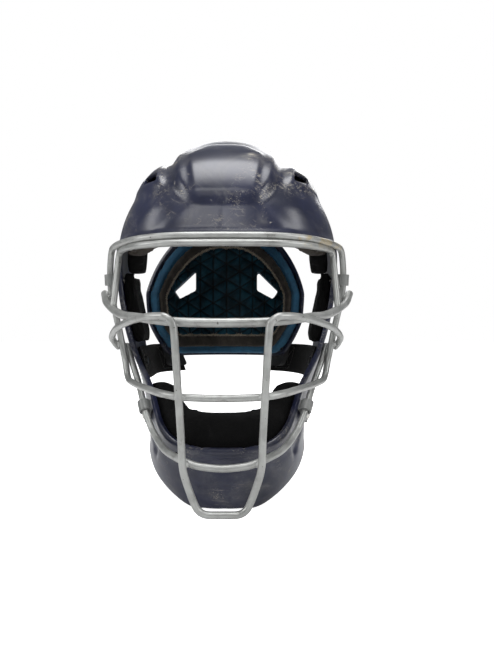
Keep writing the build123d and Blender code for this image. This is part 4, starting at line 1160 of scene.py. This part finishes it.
def band_piece(name, grid):
    """Closed band from its middle surface, with its own map along and across."""
    rows, columns = grid.shape[:2]
    shares = np.linspace(-1, 1, columns)
    height = (STRAP_THICK / 2 * np.clip(1 - np.abs(shares) ** 10, 0.35, 1))[None, :, None]
    walk, wide = chords(grid[:, columns // 2]), chords(grid[rows // 2])
    ripple = np.array([[[0.25 * noise.noise(Vector((a * 0.09, b * 0.09, 3.1)))] for b in wide] for a in walk])
    normal = grid_normals(grid)
    top, bottom = grid + normal * (height + ripple), grid - normal * (height - ripple)
    index = np.arange(rows * columns).reshape(rows, columns)
    half = rows * columns
    quads = grid_quads(index, closed=False)
    faces = [*quads.tolist(), *(quads[:, [0, 3, 2, 1]] + half).tolist()]
    rim = [*index[0], *index[1:, -1], *index[-1, -2::-1], *index[-2::-1, 0]]
    faces += [[int(second), int(first), int(first) + half, int(second) + half]
              for first, second in zip(rim, rim[1:])]
    piece = new_piece(name, np.vstack([top.reshape(-1, 3), bottom.reshape(-1, 3)]), faces, 50)
    place = np.stack(np.meshgrid(walk, wide, indexing="ij"), axis=-1).reshape(-1, 2) * MM
    corner = np.empty(len(piece.data.loops), np.int32)
    piece.data.loops.foreach_get("vertex_index", corner)
    piece.data.uv_layers.new(name="band").data.foreach_set("uv", np.vstack([place, place])[corner].ravel())
    return piece


def box_stitch(grid, first_row, last_row):
    """Rectangle of stitches with a cross inside, on both faces of a band."""
    normal = grid_normals(grid)
    left, right = STITCH_COLUMNS
    corners = [(first_row, left), (first_row, right), (last_row, right), (last_row, left), (first_row, left)]
    parts = []
    crossed = [(corners[0], corners[2]), (corners[1], corners[3])]
    for (r0, c0), (r1, c1) in [*zip(corners, corners[1:]), *crossed]:
        i = np.round(np.linspace(r0, r1, 12)).astype(int)
        j = np.round(np.linspace(c0, c1, 12)).astype(int)
        for face in (1, -1):
            up = face * normal[i, j]
            parts += stitch_parts(grid[i, j] + up * STITCH_HEIGHT, up, 2.2, 1.0, 0.3, 0.2)
    return parts


def strap(node_name, grid, stitched):
    """Band with its box stitches, in place of the strap's solid."""
    band = band_piece(f"{node_name}_band", grid)
    threads = new_piece(f"{node_name}_thread", *merged(
        part for first, last in stitched for part in box_stitch(grid, first, last)))
    for piece, material in ((band, elastic), (threads, black_thread)):
        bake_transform(piece)
        piece.data.materials.append(material)
    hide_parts(node_name)


for side, side_name in ((1, "right"), (-1, "left")):
    node_name = f"side_strap_{side_name}"
    low, high = (np.array(corner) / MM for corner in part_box(node_name))
    grid = band_grid(node_name, low[1] + 0.7, high[1] - 0.7, -94.2, -61.8, (side, 0, 0), 2)
    strap(node_name, grid, [(3, 14), (72, 84)])

low, high = (np.array(corner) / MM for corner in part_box("crown_strap"))
grid = band_grid("crown_strap", low[2] + 0.8, high[2] - 0.8, low[0] + 0.5, high[0] - 0.5, (0, 1, 0), 0)
strap("crown_strap", grid, [(6, 22), (66, 82)])

# Floor, backdrop and light
scene.frame_set(1)
FLOOR_REACH = 6000
floor_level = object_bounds()[0][2] / MM - 0.5
corners = [(x * FLOOR_REACH, y * FLOOR_REACH, floor_level) for x, y in ((-1, -1), (1, -1), (1, 1), (-1, 1))]
floor = new_piece("floor", corners, [(0, 1, 2, 3)])
floor_paint = Paint("floor_white", 1.0)
tone = floor_paint.span(floor_paint.noise(3.0), 0, 1, 0.88, 0.92)
floor_paint.tint(tone, (0.0, 0.0, 0.0), (1.0, 1.0, 1.0))
seen_directly = floor_paint.node("ShaderNodeLightPath").outputs["Is Camera Ray"]
floor_paint.set(Specular_IOR_Level=0.0, Emission_Color=(1.0, 1.0, 1.0),
                Emission_Strength=floor_paint.times(seen_directly, 0.90))
floor.data.materials.append(floor_paint.material)

scene.world = bpy.data.worlds.new("studio")
scene.world.use_nodes = True
studio = scene.world.node_tree
studio.nodes.clear()
seen, lighting = (
    add_node(studio, "ShaderNodeBackground", {"Color": colour, "Strength": strength}).outputs[0]
    for colour, strength in (((1, 1, 1), 1.0), ((0.95, 0.97, 1.0), 0.20)))
seen_directly = add_node(studio, "ShaderNodeLightPath").outputs["Is Camera Ray"]
either = add_node(studio, "ShaderNodeMixShader", {0: seen_directly, 1: lighting, 2: seen})
add_node(studio, "ShaderNodeOutputWorld", {"Surface": either.outputs[0]})

# place, target, width, height and power of the soft boxes
LIGHTS = {
    "top_box": ((0.0, -0.25, 1.3), (0, 0, 0), 1.0, 0.8, 20),
    "brow_box": ((-0.25, -1.25, 0.75), (0, 0, 0.03), 0.7, 0.35, 4),
    "left_box": ((-1.2, -0.6, 0.5), (0, 0, -0.03), 0.35, 0.9, 7),
    "right_box": ((1.2, -0.8, 0.55), (0, 0, -0.03), 0.35, 0.9, 8),
    "rear_box": ((0.2, 1.3, 0.8), (0, 0, 0), 1.0, 0.5, 8),
}
for name, (place, target, width, height, power) in LIGHTS.items():
    light = bpy.data.lights.new(name, "AREA")
    assign(light, shape="RECTANGLE", size=width, size_y=height, energy=power)
    aim = (Vector(target) - Vector(place)).to_track_quat("-Z", "Y").to_euler()
    show(name, light, location=place, rotation_euler=aim)
